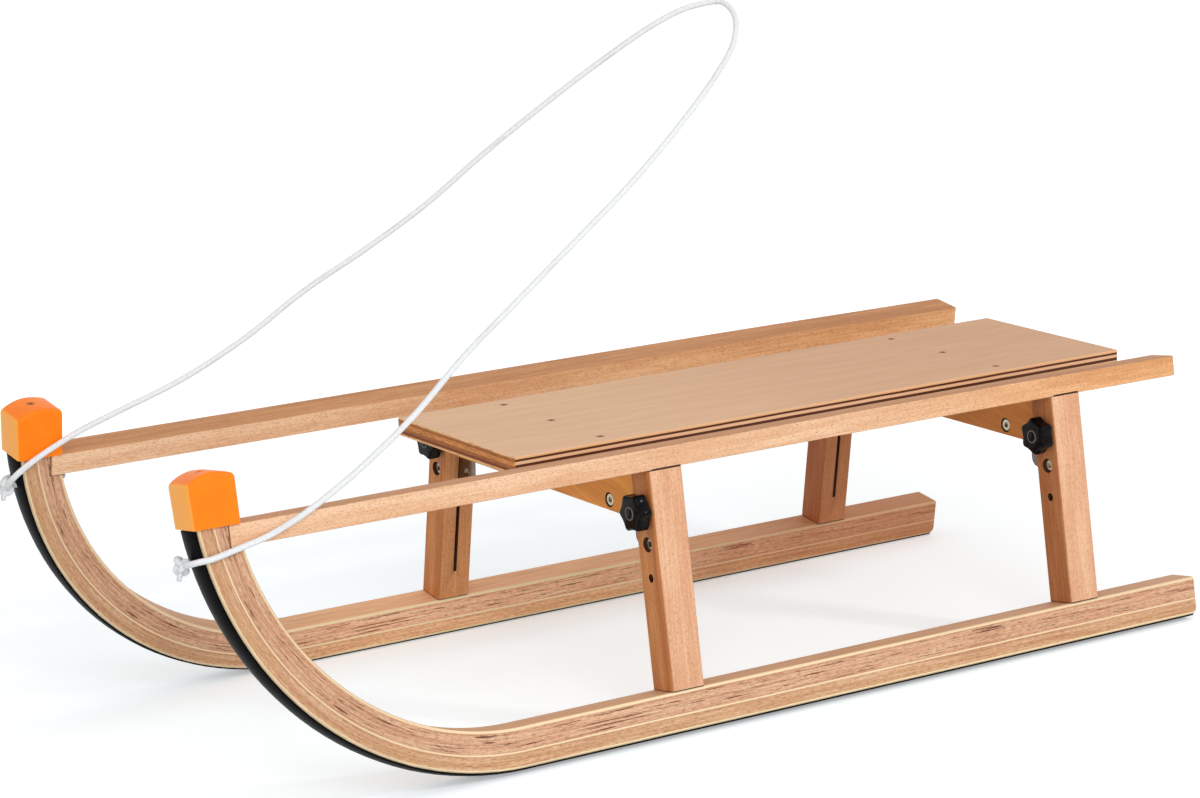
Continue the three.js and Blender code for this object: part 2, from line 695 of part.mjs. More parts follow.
sledge.add(node('seat_board', seatBoard(), seatPly()));
for (const [place, x] of Object.entries(legPlaces)) {
  sledge.add(node(`${place}_crossbar`, crossbar(x), varnishedPly()));
  seatScrewYs.forEach((y, index) => {
    const screwNode = node(`${place}_seat_screw_${index + 1}`, screw(seatScrew), steel());
    screwNode.position.set(x, y, seatTop);
    sledge.add(screwNode);
  });
}

for (const [name, side] of [['left', -1], ['right', 1]]) {
  const knotY = knotOffset[name];
  const frame = new THREE.Group();
  frame.position.set(0, side * standWidth / 2, lift);
  frame.rotation.x = side * splay;
  sledge.add(frame);

  frame.add(node(`${name}_runner`, runner(knotY), beech()));
  frame.add(node(`${name}_sole_strip`, soleStrip(knotY), blackPlastic()));
  frame.add(node(`${name}_rail`, rail(side), beech()));
  frame.add(node(`${name}_horn_cap`, hornCap(), orangePlastic()));
  frame.add(node(`${name}_cap_screw`, capScrewTool(0), steel()));
  frame.add(node(`${name}_rope_knot`, ropeKnot(knotY), cord()));
  const route = ropeRoute[name];
  sledge.add(node(`${name}_rope_lead`, ropeTube(routePoints(route.lead), ropeStep), cord()));
  sledge.add(node(`${name}_rope_strand`, ropeTube(routePoints(route.strand), ropeStep), cord()));

  for (const [place, x] of Object.entries(legPlaces)) {
    const atLeg = (label, geometry, material, height) => {
      const piece = node(`${name}_${place}_${label}`, geometry, material);
      piece.position.set(x, 0, height);
      frame.add(piece);
    };
    const pivotShank = legDepth - 2 * pivotCounterbore + 2 * fit;
    atLeg('leg', leg(side), legBeech(), 0);
    atLeg('pivot_screw', barrelScrew(pivotHeadRadius, pivotHeadHeight, pivotShank), steel(), pivotHeight);
    atLeg('knob_insert', insert(), brass(), pivotHeight + holeSpacing);
    atLeg('lock_insert', insert(), brass(), pivotHeight - holeSpacing);

    const knob = new THREE.Group();
    knob.position.set(x - legDepth / 2, 0, pivotHeight + holeSpacing);
    knob.add(node(`${name}_${place}_knob_stud`, knobStud(), steel()));
    knob.add(node(`${name}_${place}_knob_head`, knobHead(knobTurns[place]), blackPlastic()));
    frame.add(knob);

    const plate = node(`${name}_${place}_hinge_plate`, hingePlate(side), steel());
    plate.position.set(x, side * pivotY, pivotZ);
    sledge.add(plate);
    const boltShank = crossbarThickness - 2 * crossbarCounterbore + 2 * fit;
    const bolt = node(`${name}_${place}_crossbar_screw`,
      barrelScrew(crossbarHeadRadius, crossbarHeadHeight, boltShank), steel());
    bolt.position.set(x, side * boltY, pivotZ + plateBoltHeight);
    sledge.add(bolt);
  }
}

export default sledge;
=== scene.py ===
# The looks of a folding wooden sledge, laid over its solid parts.
# Metres. The horns point to -X and +Z is up, so the left side is -Y, nearer to the camera.
import math

import bmesh
import bpy
import numpy as np
from mathutils import Matrix, Vector


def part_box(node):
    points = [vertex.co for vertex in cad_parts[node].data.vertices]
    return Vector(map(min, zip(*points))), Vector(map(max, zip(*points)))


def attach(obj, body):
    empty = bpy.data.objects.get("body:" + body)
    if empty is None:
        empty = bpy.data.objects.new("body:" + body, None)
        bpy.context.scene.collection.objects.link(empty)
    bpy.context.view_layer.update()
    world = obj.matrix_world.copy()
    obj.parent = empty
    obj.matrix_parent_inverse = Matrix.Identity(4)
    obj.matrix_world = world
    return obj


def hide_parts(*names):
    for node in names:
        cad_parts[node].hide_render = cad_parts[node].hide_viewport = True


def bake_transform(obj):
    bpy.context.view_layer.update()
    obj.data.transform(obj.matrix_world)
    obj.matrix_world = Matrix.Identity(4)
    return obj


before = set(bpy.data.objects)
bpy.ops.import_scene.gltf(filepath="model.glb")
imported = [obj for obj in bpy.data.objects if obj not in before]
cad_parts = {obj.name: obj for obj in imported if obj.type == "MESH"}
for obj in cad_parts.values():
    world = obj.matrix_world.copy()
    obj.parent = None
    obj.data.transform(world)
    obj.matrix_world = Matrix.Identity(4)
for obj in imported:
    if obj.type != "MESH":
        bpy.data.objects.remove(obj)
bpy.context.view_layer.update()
bpy.ops.object.select_all(action="DESELECT")


# Camera
# It stands where the photograph was taken from: in front of the sledge, to its left and a little above it,
# with a long lens. The picture is 1200 pixels wide and 798 high, and its middle is the middle of the view.
camera = bpy.data.objects.new("camera", bpy.data.cameras.new("camera"))
bpy.context.scene.collection.objects.link(camera)
camera.data.sensor_width = 36
camera.data.lens = 114.195
heading = Matrix.Rotation(math.radians(-33.432), 4, "Z")
tilt = Matrix.Rotation(math.radians(90 - 12.883), 4, "X")
roll = Matrix.Rotation(math.radians(-1.348), 4, "Z")
camera.matrix_world = Matrix.Translation((-1.9764, -2.9748, 1.0850)) @ heading @ tilt @ roll
bpy.context.scene.camera = camera
bpy.context.scene.view_settings.view_transform = "Standard"


# Pull rope
# White braided rope of 5.8 mm, in two halves that meet at the top, where something outside the picture
# holds it up. Each half starts from its knot at a horn.
rope_radius = 0.0029
rope_sides = 32
rope_step = 0.001
braid_strands = 8
braid_pitch = 0.024
braid_relief = 0.00032
left_rope_points = [
    (-0.557, -0.183, 0.237), (-0.556, -0.189, 0.239), (-0.551, -0.194, 0.241), (-0.540, -0.196, 0.242),
    (-0.517, -0.195, 0.246), (-0.483, -0.194, 0.253), (-0.451, -0.192, 0.264), (-0.431, -0.191, 0.273),
    (-0.389, -0.188, 0.295), (-0.329, -0.183, 0.333), (-0.271, -0.177, 0.378), (-0.208, -0.172, 0.421),
    (-0.143, -0.164, 0.463), (-0.076, -0.153, 0.505), (-0.011, -0.138, 0.549), (0.050, -0.117, 0.592),
    (0.078, -0.102, 0.614), (0.093, -0.086, 0.632), (0.098, -0.073, 0.641), (0.098, -0.063, 0.646),
    (0.096, -0.056, 0.648), (0.094, -0.054, 0.648),
]
right_rope_points = [
    (-0.558, 0.166, 0.237), (-0.560, 0.160, 0.241), (-0.558, 0.153, 0.248), (-0.546, 0.151, 0.257),
    (-0.530, 0.150, 0.266), (-0.493, 0.147, 0.283), (-0.458, 0.145, 0.295), (-0.388, 0.139, 0.319),
    (-0.324, 0.131, 0.351), (-0.265, 0.120, 0.390), (-0.205, 0.103, 0.426), (-0.150, 0.084, 0.464),
    (-0.101, 0.061, 0.508), (-0.053, 0.035, 0.550), (-0.004, 0.007, 0.591), (0.043, -0.023, 0.628),
    (0.068, -0.038, 0.642), (0.082, -0.046, 0.646), (0.092, -0.052, 0.648), (0.094, -0.054, 0.648),
]


def tone(red, green, blue):
    """A colour as a picture shows it, from 0 to 255, in the linear values that a shader takes."""
    shares = [value / 255 for value in (red, green, blue)]
    return (*[s / 12.92 if s < 0.04045 else ((s + 0.055) / 1.055) ** 2.4 for s in shares], 1)


def add_node(tree, kind, inputs, **settings):
    """A node with its settings and its inputs, each a value or another node's output."""
    node = tree.nodes.new(kind)
    for name, value in settings.items():
        setattr(node, name, value)
    for name, value in inputs.items():
        if isinstance(value, bpy.types.NodeSocket):
            tree.links.new(value, node.inputs[name])
        else:
            node.inputs[name].default_value = value
    return node


def calc(tree, operation, *values):
    """One step of arithmetic on values or outputs."""
    return add_node(tree, "ShaderNodeMath", dict(enumerate(values)), operation=operation).outputs[0]


def times(tree, first, second):
    """The product of two values or outputs."""
    return calc(tree, "MULTIPLY", first, second)


def blended(tree, share, first, second, strength=1):
    """A mix of two colours, in which the second one has the given share, times the strength."""
    if strength != 1:
        share = times(tree, share, strength)
    return add_node(tree, "ShaderNodeMix", {0: share, 6: first, 7: second}, data_type="RGBA").outputs[2]


def multiplied(tree, first, second):
    """Two colours multiplied, and cut off at white."""
    return add_node(tree, "ShaderNodeMix", {0: 1, 6: first, 7: second}, data_type="RGBA",
                    blend_type="MULTIPLY", clamp_result=True).outputs[2]


def rising(tree, value, low, high):
    """0 below low, 1 above high and a soft step between them."""
    return add_node(tree, "ShaderNodeMapRange", {0: value, 1: low, 2: high},
                    interpolation_type="SMOOTHSTEP").outputs[0]


def stretched_noise(tree, vector, scale, detail=3, roughness=0.55):
    """Noise with its own number of cells per metre in each direction."""
    scaled = add_node(tree, "ShaderNodeVectorMath", {0: vector, 1: scale}, operation="MULTIPLY").outputs[0]
    return add_node(tree, "ShaderNodeTexNoise", {
        "Vector": scaled, "Scale": 1, "Detail": detail, "Roughness": roughness}).outputs[0]


def new_finish(name, roughness=0.5, **settings):
    """A material, its tree and its shader, with settings named as the shader's inputs are."""
    material = bpy.data.materials.new(name)
    material.use_nodes = True
    shader = material.node_tree.nodes["Principled BSDF"]
    shader.inputs["Roughness"].default_value = roughness
    for key, value in settings.items():
        shader.inputs[key.replace("_", " ")].default_value = value
    return material, material.node_tree, shader


def lay_on(tree, shader, colour, roughness=None, relief=None, strength=0.3, depth=0.0003):
    """Joins a colour, a roughness and a relief of the given depth to the shader."""
    tree.links.new(colour, shader.inputs["Base Color"])
    if roughness is not None:
        tree.links.new(roughness, shader.inputs["Roughness"])
    if relief is not None:
        bump = add_node(tree, "ShaderNodeBump", {"Strength": strength, "Distance": depth, "Height": relief})
        tree.links.new(bump.outputs[0], shader.inputs["Normal"])


def smooth_path(points, step):
    """Points a step apart on the smooth curve through the given ones."""
    given = np.array(points, float)
    given = np.vstack([2 * given[0] - given[1], given, 2 * given[-1] - given[-2]])
    dense = []
    for four in (given[i:i + 4] for i in range(len(given) - 3)):
        knots = np.concatenate([[0], np.cumsum(np.sqrt(np.linalg.norm(np.diff(four, axis=0), axis=1)))])
        for t in np.linspace(knots[1], knots[2], 40, endpoint=False):
            level = list(four)
            for reach in (1, 2, 3):
                for i in range(4 - reach):
                    low, high = (knots[i], knots[i + reach]) if reach < 3 else (knots[1], knots[2])
                    level[i] = ((high - t) * level[i] + (t - low) * level[i + 1]) / (high - low)
            dense.append(level[0])
    dense.append(given[-2])
    dense = np.array(dense)
    along = np.concatenate([[0], np.cumsum(np.linalg.norm(np.diff(dense, axis=0), axis=1))])
    places = np.linspace(0, along[-1], max(2, round(along[-1] / step) + 1))
    return np.stack([np.interp(places, along, dense[:, k]) for k in range(3)], axis=1)


def braid_height(around, along):
    """Relief of a braid, from 0 to 1: two sets of strands that cross, each over the other in turn."""
    first = braid_strands * (around + along / braid_pitch)
    second = braid_strands * (around - along / braid_pitch)
    over = (np.floor(first) + np.floor(second)) % 2 == 0
    across = np.where(over, first % 1, second % 1) - 0.5
    lengthwise = np.where(over, second % 1, first % 1) - 0.5
    return np.cos(np.pi * across) * (0.55 + 0.45 * np.cos(np.pi * lengthwise))


def add_braid(corners, faces, places, path, radius, closed=False):
    """Adds a braided tube round the path to lists of corners, faces and places on the braid."""
    path = np.array(path, float)
    count = len(path)
    nexts = np.roll(path, -1, axis=0) if closed else np.vstack([path[1:], 2 * path[-1] - path[-2]])
    befores = np.roll(path, 1, axis=0) if closed else np.vstack([2 * path[0] - path[1], path[:-1]])
    ahead = (nexts - befores) / np.linalg.norm(nexts - befores, axis=1)[:, None]
    along = np.concatenate([[0], np.cumsum(np.linalg.norm(np.diff(path, axis=0), axis=1))])
    around = np.arange(rope_sides) / rope_sides
    sideways = np.cross(ahead[0], (0.3, 0.2, 1))
    base = len(corners)
    for i in range(count):
        sideways = sideways - ahead[i] * (sideways @ ahead[i])
        sideways = sideways / np.linalg.norm(sideways)
        upwards = np.cross(ahead[i], sideways)
        reach = radius - braid_relief * (1 - braid_height(around, along[i]))
        angle = 2 * np.pi * around
        across, up = (np.cos(angle) * reach)[:, None], (np.sin(angle) * reach)[:, None]
        corners.extend(map(tuple, path[i] + across * sideways + up * upwards))
        places.extend((a, along[i]) for a in around)
    for i in range(count if closed else count - 1):
        low = base + i * rope_sides
        high = base + (i + 1) % count * rope_sides
        for k in range(rope_sides):
            following = (k + 1) % rope_sides
            faces.append((low + k, low + following, high + following, high + k))
    if not closed:
        faces.append(tuple(base + k for k in reversed(range(rope_sides))))
        faces.append(tuple(base + (count - 1) * rope_sides + k for k in range(rope_sides)))


def rope_object(name, corners, faces, places):
    """A mesh of braided tubes, with each corner's place on the braid kept as an attribute."""
    mesh = bpy.data.meshes.new(name)
    mesh.from_pydata(corners, [], faces)
    turns, along = np.array(places).T
    on_braid = np.stack([np.cos(2 * np.pi * turns), np.sin(2 * np.pi * turns), along], axis=1)
    braid = mesh.attributes.new("braid", "FLOAT_VECTOR", "POINT")
    braid.data.foreach_set("vector", on_braid.astype(np.float32).ravel())
    mesh.shade_smooth()
    piece = bpy.data.objects.new(name, mesh)
    bpy.context.scene.collection.objects.link(piece)
    piece.data.materials.append(rope_white)
    return piece


rope_white, tree, shader = new_finish("rope_white", roughness=0.62, Specular_IOR_Level=0.35)
place = add_node(tree, "ShaderNodeAttribute", {}, attribute_name="braid").outputs["Vector"]
fibres = stretched_noise(tree, place, (6, 6, 1400), detail=2)
soil = stretched_noise(tree, place, (0.7, 0.7, 24), detail=3)
white = blended(tree, rising(tree, fibres, 0.3, 0.7), tone(205, 207, 208), tone(244, 246, 248))
white = blended(tree, rising(tree, soil, 0.55, 0.8), white, tone(196, 194, 188))
lay_on(tree, shader, white, relief=fibres, strength=0.4, depth=0.0002)

for side_name, points, blend_start, blend_end in [
    ("left", left_rope_points, (-0.25, -0.18, 0.39), (-0.431, -0.191, 0.273)),
    ("right", right_rope_points, (-0.30, 0.13, 0.365), (-0.525, 0.150, 0.268)),
]:
    route = smooth_path(points, rope_step)
    parts = ([], [], [])
    add_braid(*parts, route, rope_radius)
    half = rope_object(f"{side_name}_pull_rope", *parts)
    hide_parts(f"{side_name}_rope_lead", f"{side_name}_rope_strand")
    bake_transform(half)


# Rope knots
# Each end of the rope goes back through a hole in the horn, round its side and into a small round knot.
# The knot lies in front of the sole strip, and the sealed end of the rope sticks out of it.
splay = math.radians(8.6)
half_stand = 0.2125
lift = 0.000451
hole_height = 0.237
knot_x = -0.55583
strip_x = -0.54603
wood_front_x = -0.54192
wood_back_x = -0.50325
beside_wood = 0.0197
behind_wood_x = wood_back_x + 0.0069
knot_scale = 0.0023
tail_radius = 0.0024


def frame_matrix(side):
    """Turns places drawn on an upright side frame into its leaning place. side is -1 for the left one."""
    return Matrix.Translation((0, side * half_stand, lift)) @ Matrix.Rotation(side * splay, 4, "X")


for side_name, side, knot_y, spin in [("left", -1, 0.005, 0.4), ("right", 1, 0, 1.3)]:
    stand = frame_matrix(side)
    loop = [
        (knot_x, knot_y), (strip_x, knot_y), ((strip_x + wood_back_x) / 2, knot_y),
        (wood_back_x, knot_y), (behind_wood_x, knot_y + rope_radius), (behind_wood_x, 0.01455),
        (behind_wood_x - rope_radius, beside_wood), (wood_front_x, beside_wood),
        (strip_x - rope_radius, 0.016), (knot_x, knot_y),
    ]
    parts = ([], [], [])
    route = smooth_path([stand @ Vector((x, y, hole_height)) for x, y in loop], rope_step)
    add_braid(*parts, route, rope_radius)
    turns = np.linspace(0, 2 * np.pi, 90, endpoint=False)
    trefoil = knot_scale * np.stack([
        1.5 * np.sin(3 * turns),
        np.sin(turns) + 2 * np.sin(2 * turns),
        np.cos(turns) - 2 * np.cos(2 * turns),
    ], axis=1)
    place = stand @ Matrix.Translation((knot_x, knot_y, hole_height)) @ Matrix.Rotation(spin, 4, "X")
    add_braid(*parts, [place @ Vector(p) for p in trefoil], rope_radius, closed=True)
    tail = [
        (0.001, 0.002, 0.002), (-0.002, -0.002, -0.003),
        (-0.004, -0.003, -0.008), (-0.004, -0.002, -0.0115),
    ]
    middle = stand @ Vector((knot_x, knot_y, hole_height))
    add_braid(*parts, smooth_path([middle + Vector(p) for p in tail], rope_step), tail_radius)
    knot = rope_object(f"{side_name}_end_knot", *parts)
    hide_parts(f"{side_name}_rope_knot")
    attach(knot, f"{side_name}_frame")


# Runners
# Beech veneers glued in a bent stack of 37.5 mm and sawn 32 mm wide, so each side shows the edges of the
# layers. The outer layers are paler, and some layers inside are torn open in dark gashes.
bend_x = -0.247911
bend_height = 0.306
bend_outer_radius = 0.302
runner_thickness = 0.0375
notch_x = -0.5176
notch_height = 0.2470
joint_line = 0.0006
sides = [("left", -1), ("right", 1)]


def new_group(name, inputs, outputs):
    """A node group with named inputs, each given as (kind, name, value), and named outputs."""
    group = bpy.data.node_groups.new(name, "ShaderNodeTree")
    for kind, socket, value in inputs:
        made = group.interface.new_socket(name=socket, in_out="INPUT", socket_type=f"NodeSocket{kind}")
        if value is not None:
            made.default_value = value
    for kind, socket in outputs:
        group.interface.new_socket(name=socket, in_out="OUTPUT", socket_type=f"NodeSocket{kind}")
    return group, group.nodes.new("NodeGroupInput").outputs, group.nodes.new("NodeGroupOutput").inputs


def use_group(tree, group, inputs):
    """The outputs of a group placed in a tree."""
    return add_node(tree, "ShaderNodeGroup", inputs, node_tree=group).outputs


def object_place(tree):
    """Places in metres, as the whole sledge stands."""
    return add_node(tree, "ShaderNodeTexCoord", {}).outputs["Object"]


def on_frame(tree, side):
    """Places as drawn on the upright side frame: x along the sledge, y across its wood, z up the frame."""
    return add_node(tree, "ShaderNodeMapping", {
        "Vector": object_place(tree),
        "Location": (0, side * half_stand, lift),
        "Rotation": (side * splay, 0, 0),
    }, vector_type="TEXTURE").outputs[0]


def along_axes(tree, vector):
    """The X, Y and Z of a vector."""
    return add_node(tree, "ShaderNodeSeparateXYZ", {0: vector}).outputs


def from_line(tree, first, second):
    """How far a place is from a line, from its distances in two directions."""
    return calc(tree, "SQRT", calc(tree, "ADD", times(tree, first, first), times(tree, second, second)))


def near(tree, value, middle, reach):
    """1 where a value is less than reach from the middle, or else 0."""
    return calc(tree, "LESS_THAN", calc(tree, "ABSOLUTE", calc(tree, "SUBTRACT", value, middle)), reach)


def wandering(tree, value, noise):
    """A share that wanders a little with the noise, as the layers in wood do."""
    return calc(tree, "MULTIPLY_ADD", calc(tree, "SUBTRACT", noise, 0.5), 0.03, value)


def ramp(tree, value, stops):
    """Colours at places from 0 to 1."""
    node = add_node(tree, "ShaderNodeValToRGB", {0: value})
    elements = node.color_ramp.elements
    for i, (position, colour) in enumerate(stops):
        element = elements[i] if i < 2 else elements.new(position)
        element.position = position
        element.color = colour
    return node.outputs[0]


layered_beech, given, result = new_group(
    "layered beech",
    [("Vector", "Place", None)],
    [("Color", "Color"), ("Float", "Height"), ("Float", "Roughness")],
)
tree = layered_beech
axes = along_axes(tree, given["Place"])
ahead = calc(tree, "SUBTRACT", bend_x, axes["X"])
below = calc(tree, "SUBTRACT", bend_height, axes["Z"])
in_bend = calc(tree, "GREATER_THAN", ahead, 0)
radius = from_line(tree, ahead, below)
arc = times(tree, calc(tree, "ARCTAN2", ahead, below), bend_outer_radius)
reach = add_node(tree, "ShaderNodeMix", {0: in_bend, 2: below, 3: radius}, data_type="FLOAT").outputs[0]
course = add_node(tree, "ShaderNodeMix", {0: in_bend, 2: ahead, 3: arc}, data_type="FLOAT").outputs[0]
depth = calc(tree, "SUBTRACT", bend_outer_radius, reach)
flat = add_node(tree, "ShaderNodeCombineXYZ", {"X": course, "Y": axes["Y"], "Z": depth}).outputs[0]
wander = stretched_noise(tree, flat, (9, 30, 20), detail=2)
share = calc(tree, "DIVIDE", depth, runner_thickness)
level = wandering(tree, share, wander)
stack = ramp(tree, level, [
    (0.0, tone(208, 160, 118)), (0.10, tone(210, 162, 118)), (0.24, tone(208, 160, 118)),
    (0.30, tone(218, 172, 132)), (0.385, tone(200, 150, 112)), (0.44, tone(204, 154, 120)),
    (0.52, tone(222, 172, 138)), (0.61, tone(212, 160, 128)), (0.65, tone(210, 158, 124)),
    (0.80, tone(224, 174, 140)), (0.925, tone(208, 158, 124)), (1.0, tone(214, 166, 130)),
])
veneers = ramp(tree, level, [(place, (pale, pale, pale, 1)) for place, pale in [
    (0.0, 1), (0.06, 1), (0.075, 0), (0.385, 0), (0.40, 1), (0.425, 1), (0.44, 0), (0.62, 0), (0.63, 0.4),
    (0.65, 0), (0.925, 0), (0.94, 1),
]])
streaks = stretched_noise(tree, flat, (14, 420, 520), detail=6, roughness=0.65)
fine = stretched_noise(tree, flat, (150, 1500, 1500), detail=4, roughness=0.7)
colour = blended(tree, rising(tree, streaks, 0.49, 0.66), stack, tone(178, 122, 88), 0.6)
colour = blended(tree, rising(tree, streaks, 0.5, 0.36), colour, tone(238, 204, 168), 0.5)
colour = blended(tree, rising(tree, fine, 0.5, 0.62), colour, tone(150, 98, 70), 0.7)
colour = blended(tree, rising(tree, fine, 0.46, 0.34), colour, tone(244, 212, 178), 0.5)
gash = stretched_noise(tree, flat, (16, 60, 520), detail=5, roughness=0.75)
gash_band = times(tree, rising(tree, level, 0.44, 0.5), rising(tree, level, 0.93, 0.86))
gash_mask = times(tree, rising(tree, gash, 0.565, 0.59), gash_band)
colour = blended(tree, gash_mask, colour, tone(92, 44, 24), 0.95)
colour = blended(tree, veneers, colour, tone(254, 230, 188), 0.82)
# The top face takes a grain of its own in browner colours, painted darker as shade.
top_grain = stretched_noise(tree, flat, (16, 700, 300), detail=5)
shaded_top_colour = blended(tree, rising(tree, top_grain, 0.35, 0.7), tone(216, 170, 130), tone(196, 146, 106))
colour = blended(tree, calc(tree, "GREATER_THAN", share, 0.9985), colour, shaded_top_colour)
# The joint round the rail's end is a dark line down the notch and along its floor
above_floor = calc(tree, "GREATER_THAN", axes["Z"], notch_height - 0.0002)
upright = times(tree, near(tree, axes["X"], notch_x, joint_line), above_floor)
behind_notch = calc(tree, "GREATER_THAN", axes["X"], notch_x)
level_line = times(tree, near(tree, axes["Z"], notch_height, joint_line), behind_notch)
colour = blended(tree, calc(tree, "MAXIMUM", upright, level_line), colour, tone(70, 40, 26))
tree.links.new(colour, result["Color"])
tree.links.new(calc(tree, "SUBTRACT", streaks, gash_mask), result["Height"])
tree.links.new(calc(tree, "MULTIPLY_ADD", fine, 0.25, 0.42), result["Roughness"])


def coat(piece, finish):
    """Gives a piece this material and no other."""
    piece.data.materials.clear()
    piece.data.materials.append(finish)


def smooth(piece, angle):
    """Shades a piece smooth across every edge that turns by less than the angle, in degrees."""
    bpy.context.view_layer.objects.active = piece
    piece.select_set(True)
    bpy.ops.object.shade_smooth_by_angle(angle=math.radians(angle))


def apply_modifier(piece, name, kind, **settings):
    """Adds a modifier with its settings and applies it."""
    bpy.context.view_layer.objects.active = piece
    modifier = piece.modifiers.new(name, kind)
    for key, value in settings.items():
        setattr(modifier, key, value)
    bpy.ops.object.modifier_apply(modifier=name)


def dress(node, name, body, finish, angle=35):
    """A copy of a solid, with its corners merged and its curves shaded smooth, that stands for it."""
    piece = bpy.data.objects.new(name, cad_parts[node].data.copy())
    bpy.context.scene.collection.objects.link(piece)
    bpy.context.view_layer.objects.active = piece
    piece.select_set(True)
    bpy.ops.object.mode_set(mode="EDIT")
    bpy.ops.mesh.select_all(action="SELECT")
    bpy.ops.mesh.remove_doubles(threshold=0.00001)
    bpy.ops.object.mode_set(mode="OBJECT")
    smooth(piece, angle)
    apply_modifier(piece, "level faces", "WEIGHTED_NORMAL", keep_sharp=True)
    piece.select_set(False)
    coat(piece, finish)
    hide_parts(node)
    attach(piece, body)


for side_name, side in sides:
    finish, tree, shader = new_finish(f"{side_name}_layered_beech", Specular_IOR_Level=0.22)
    place = on_frame(tree, side)
    wood = use_group(tree, layered_beech, {"Place": place})
    aft = along_axes(tree, place)["X"]
    colour = wood["Color"]
    if side > 0:
        # The right runner's middle is painted paler, painted light that lifts the shade under the rail and
        # seat, apart from its veneers, which are pale already
        middle = times(tree, rising(tree, aft, -0.4, -0.1), rising(tree, aft, 0.5, 0.2))
        green = add_node(tree, "ShaderNodeSeparateColor", {0: colour}).outputs["Green"]
        middle = times(tree, middle, rising(tree, green, 0.85, 0.5))
        painted_light = blended(tree, middle, (1, 1, 1, 1), (1.45, 1.45, 1.45, 1))
        colour = multiplied(tree, colour, painted_light)
    # Towards the bend the wood is painted darker: painted shade.
    colour = blended(tree, rising(tree, aft, -0.25, -0.45), colour, tone(150, 106, 76), 0.22)
    # Towards the rear the wood is painted darker and redder, a little on the left runner and much more on
    # the right one: painted shade.
    rear_shade = 0.08 if side < 0 else 0.5
    colour = blended(tree, rising(tree, aft, 0.0, 0.5), colour, tone(180, 98, 46), rear_shade)
    lay_on(tree, shader, colour, wood["Roughness"], wood["Height"], strength=0.35, depth=0.0004)
    dress(f"{side_name}_runner", f"{side_name}_bent_runner", f"{side_name}_frame", finish)


# Sole strips
# Black plastic, crowned across and pressed round the bend under each runner up to the horn's cap.
# Snow has polished it a little, and fine scratches run along it.
strip_black, tree, shader = new_finish("strip_black", IOR=1.1)
scratches = stretched_noise(tree, object_place(tree), (30, 2600, 2600), detail=3)
black = blended(tree, rising(tree, scratches, 0.45, 0.75), tone(12, 10, 11), tone(26, 22, 23))
lay_on(tree, shader, black, calc(tree, "MULTIPLY_ADD", scratches, 0.26, 0.26))
for side_name in ("left", "right"):
    dress(f"{side_name}_sole_strip", f"{side_name}_sole_runner_strip", f"{side_name}_frame",
          strip_black, angle=40)


# Legs
# Solid beech posts with their grain upright, pinkish and pale with short dark flecks on the faces to the
# sides, and a deeper orange to the front and back that is partly painted shade. A kerf and three holes in
# each take the hinge plate.
leg_depth = 0.036
leg_x = -0.069
leg_spacing = 0.4767
leg_foot, leg_head = 0.0423, 0.2464
kerf_half = 0.0021
kerf_reach = 0.0156
pivot_hole, lock_hole, knob_hole = (0.1781, 0.0074), (0.1468, 0.0062), (0.2094, 0.0062)
rear_half_x = 0.2
beech_grain, given, result = new_group(
    "beech grain",
    [("Vector", "Place", None), ("Color", "Pale", (0.8, 0.5, 0.3, 1)),
     ("Color", "Deep", (0.6, 0.3, 0.2, 1)), ("Float", "Flecks", 0.5)],
    [("Color", "Color"), ("Float", "Height"), ("Float", "Roughness")],
)
tree = beech_grain
broad = stretched_noise(tree, given["Place"], (5, 70, 70), detail=3)
streaks = stretched_noise(tree, given["Place"], (22, 520, 520), detail=5, roughness=0.62)
flecks = stretched_noise(tree, given["Place"], (330, 2300, 2300), detail=2, roughness=0.5)
share = calc(tree, "ADD", times(tree, broad, 0.55), times(tree, streaks, 0.45))
colour = blended(tree, rising(tree, share, 0.36, 0.62), given["Pale"], given["Deep"])
fleck_mask = times(tree, rising(tree, flecks, 0.5, 0.7), given["Flecks"])
colour = blended(tree, fleck_mask, colour, multiplied(tree, given["Deep"], tone(205, 175, 160)))
tree.links.new(colour, result["Color"])
tree.links.new(calc(tree, "SUBTRACT", streaks, times(tree, fleck_mask, 0.6)), result["Height"])
tree.links.new(calc(tree, "MULTIPLY_ADD", streaks, 0.25, 0.4), result["Roughness"])


def beech(tree, place, pale, deep, flecks):
    """Grain in a pale and a deep colour."""
    return use_group(tree, beech_grain, {
        "Place": place, "Pale": tone(*pale), "Deep": tone(*deep), "Flecks": flecks})


def facing(tree, axis):
    """How squarely a face looks along an axis, either way, from 0 to 1."""
    normal = add_node(tree, "ShaderNodeTexCoord", {}).outputs["Normal"]
    return calc(tree, "ABSOLUTE", along_axes(tree, normal)[axis])


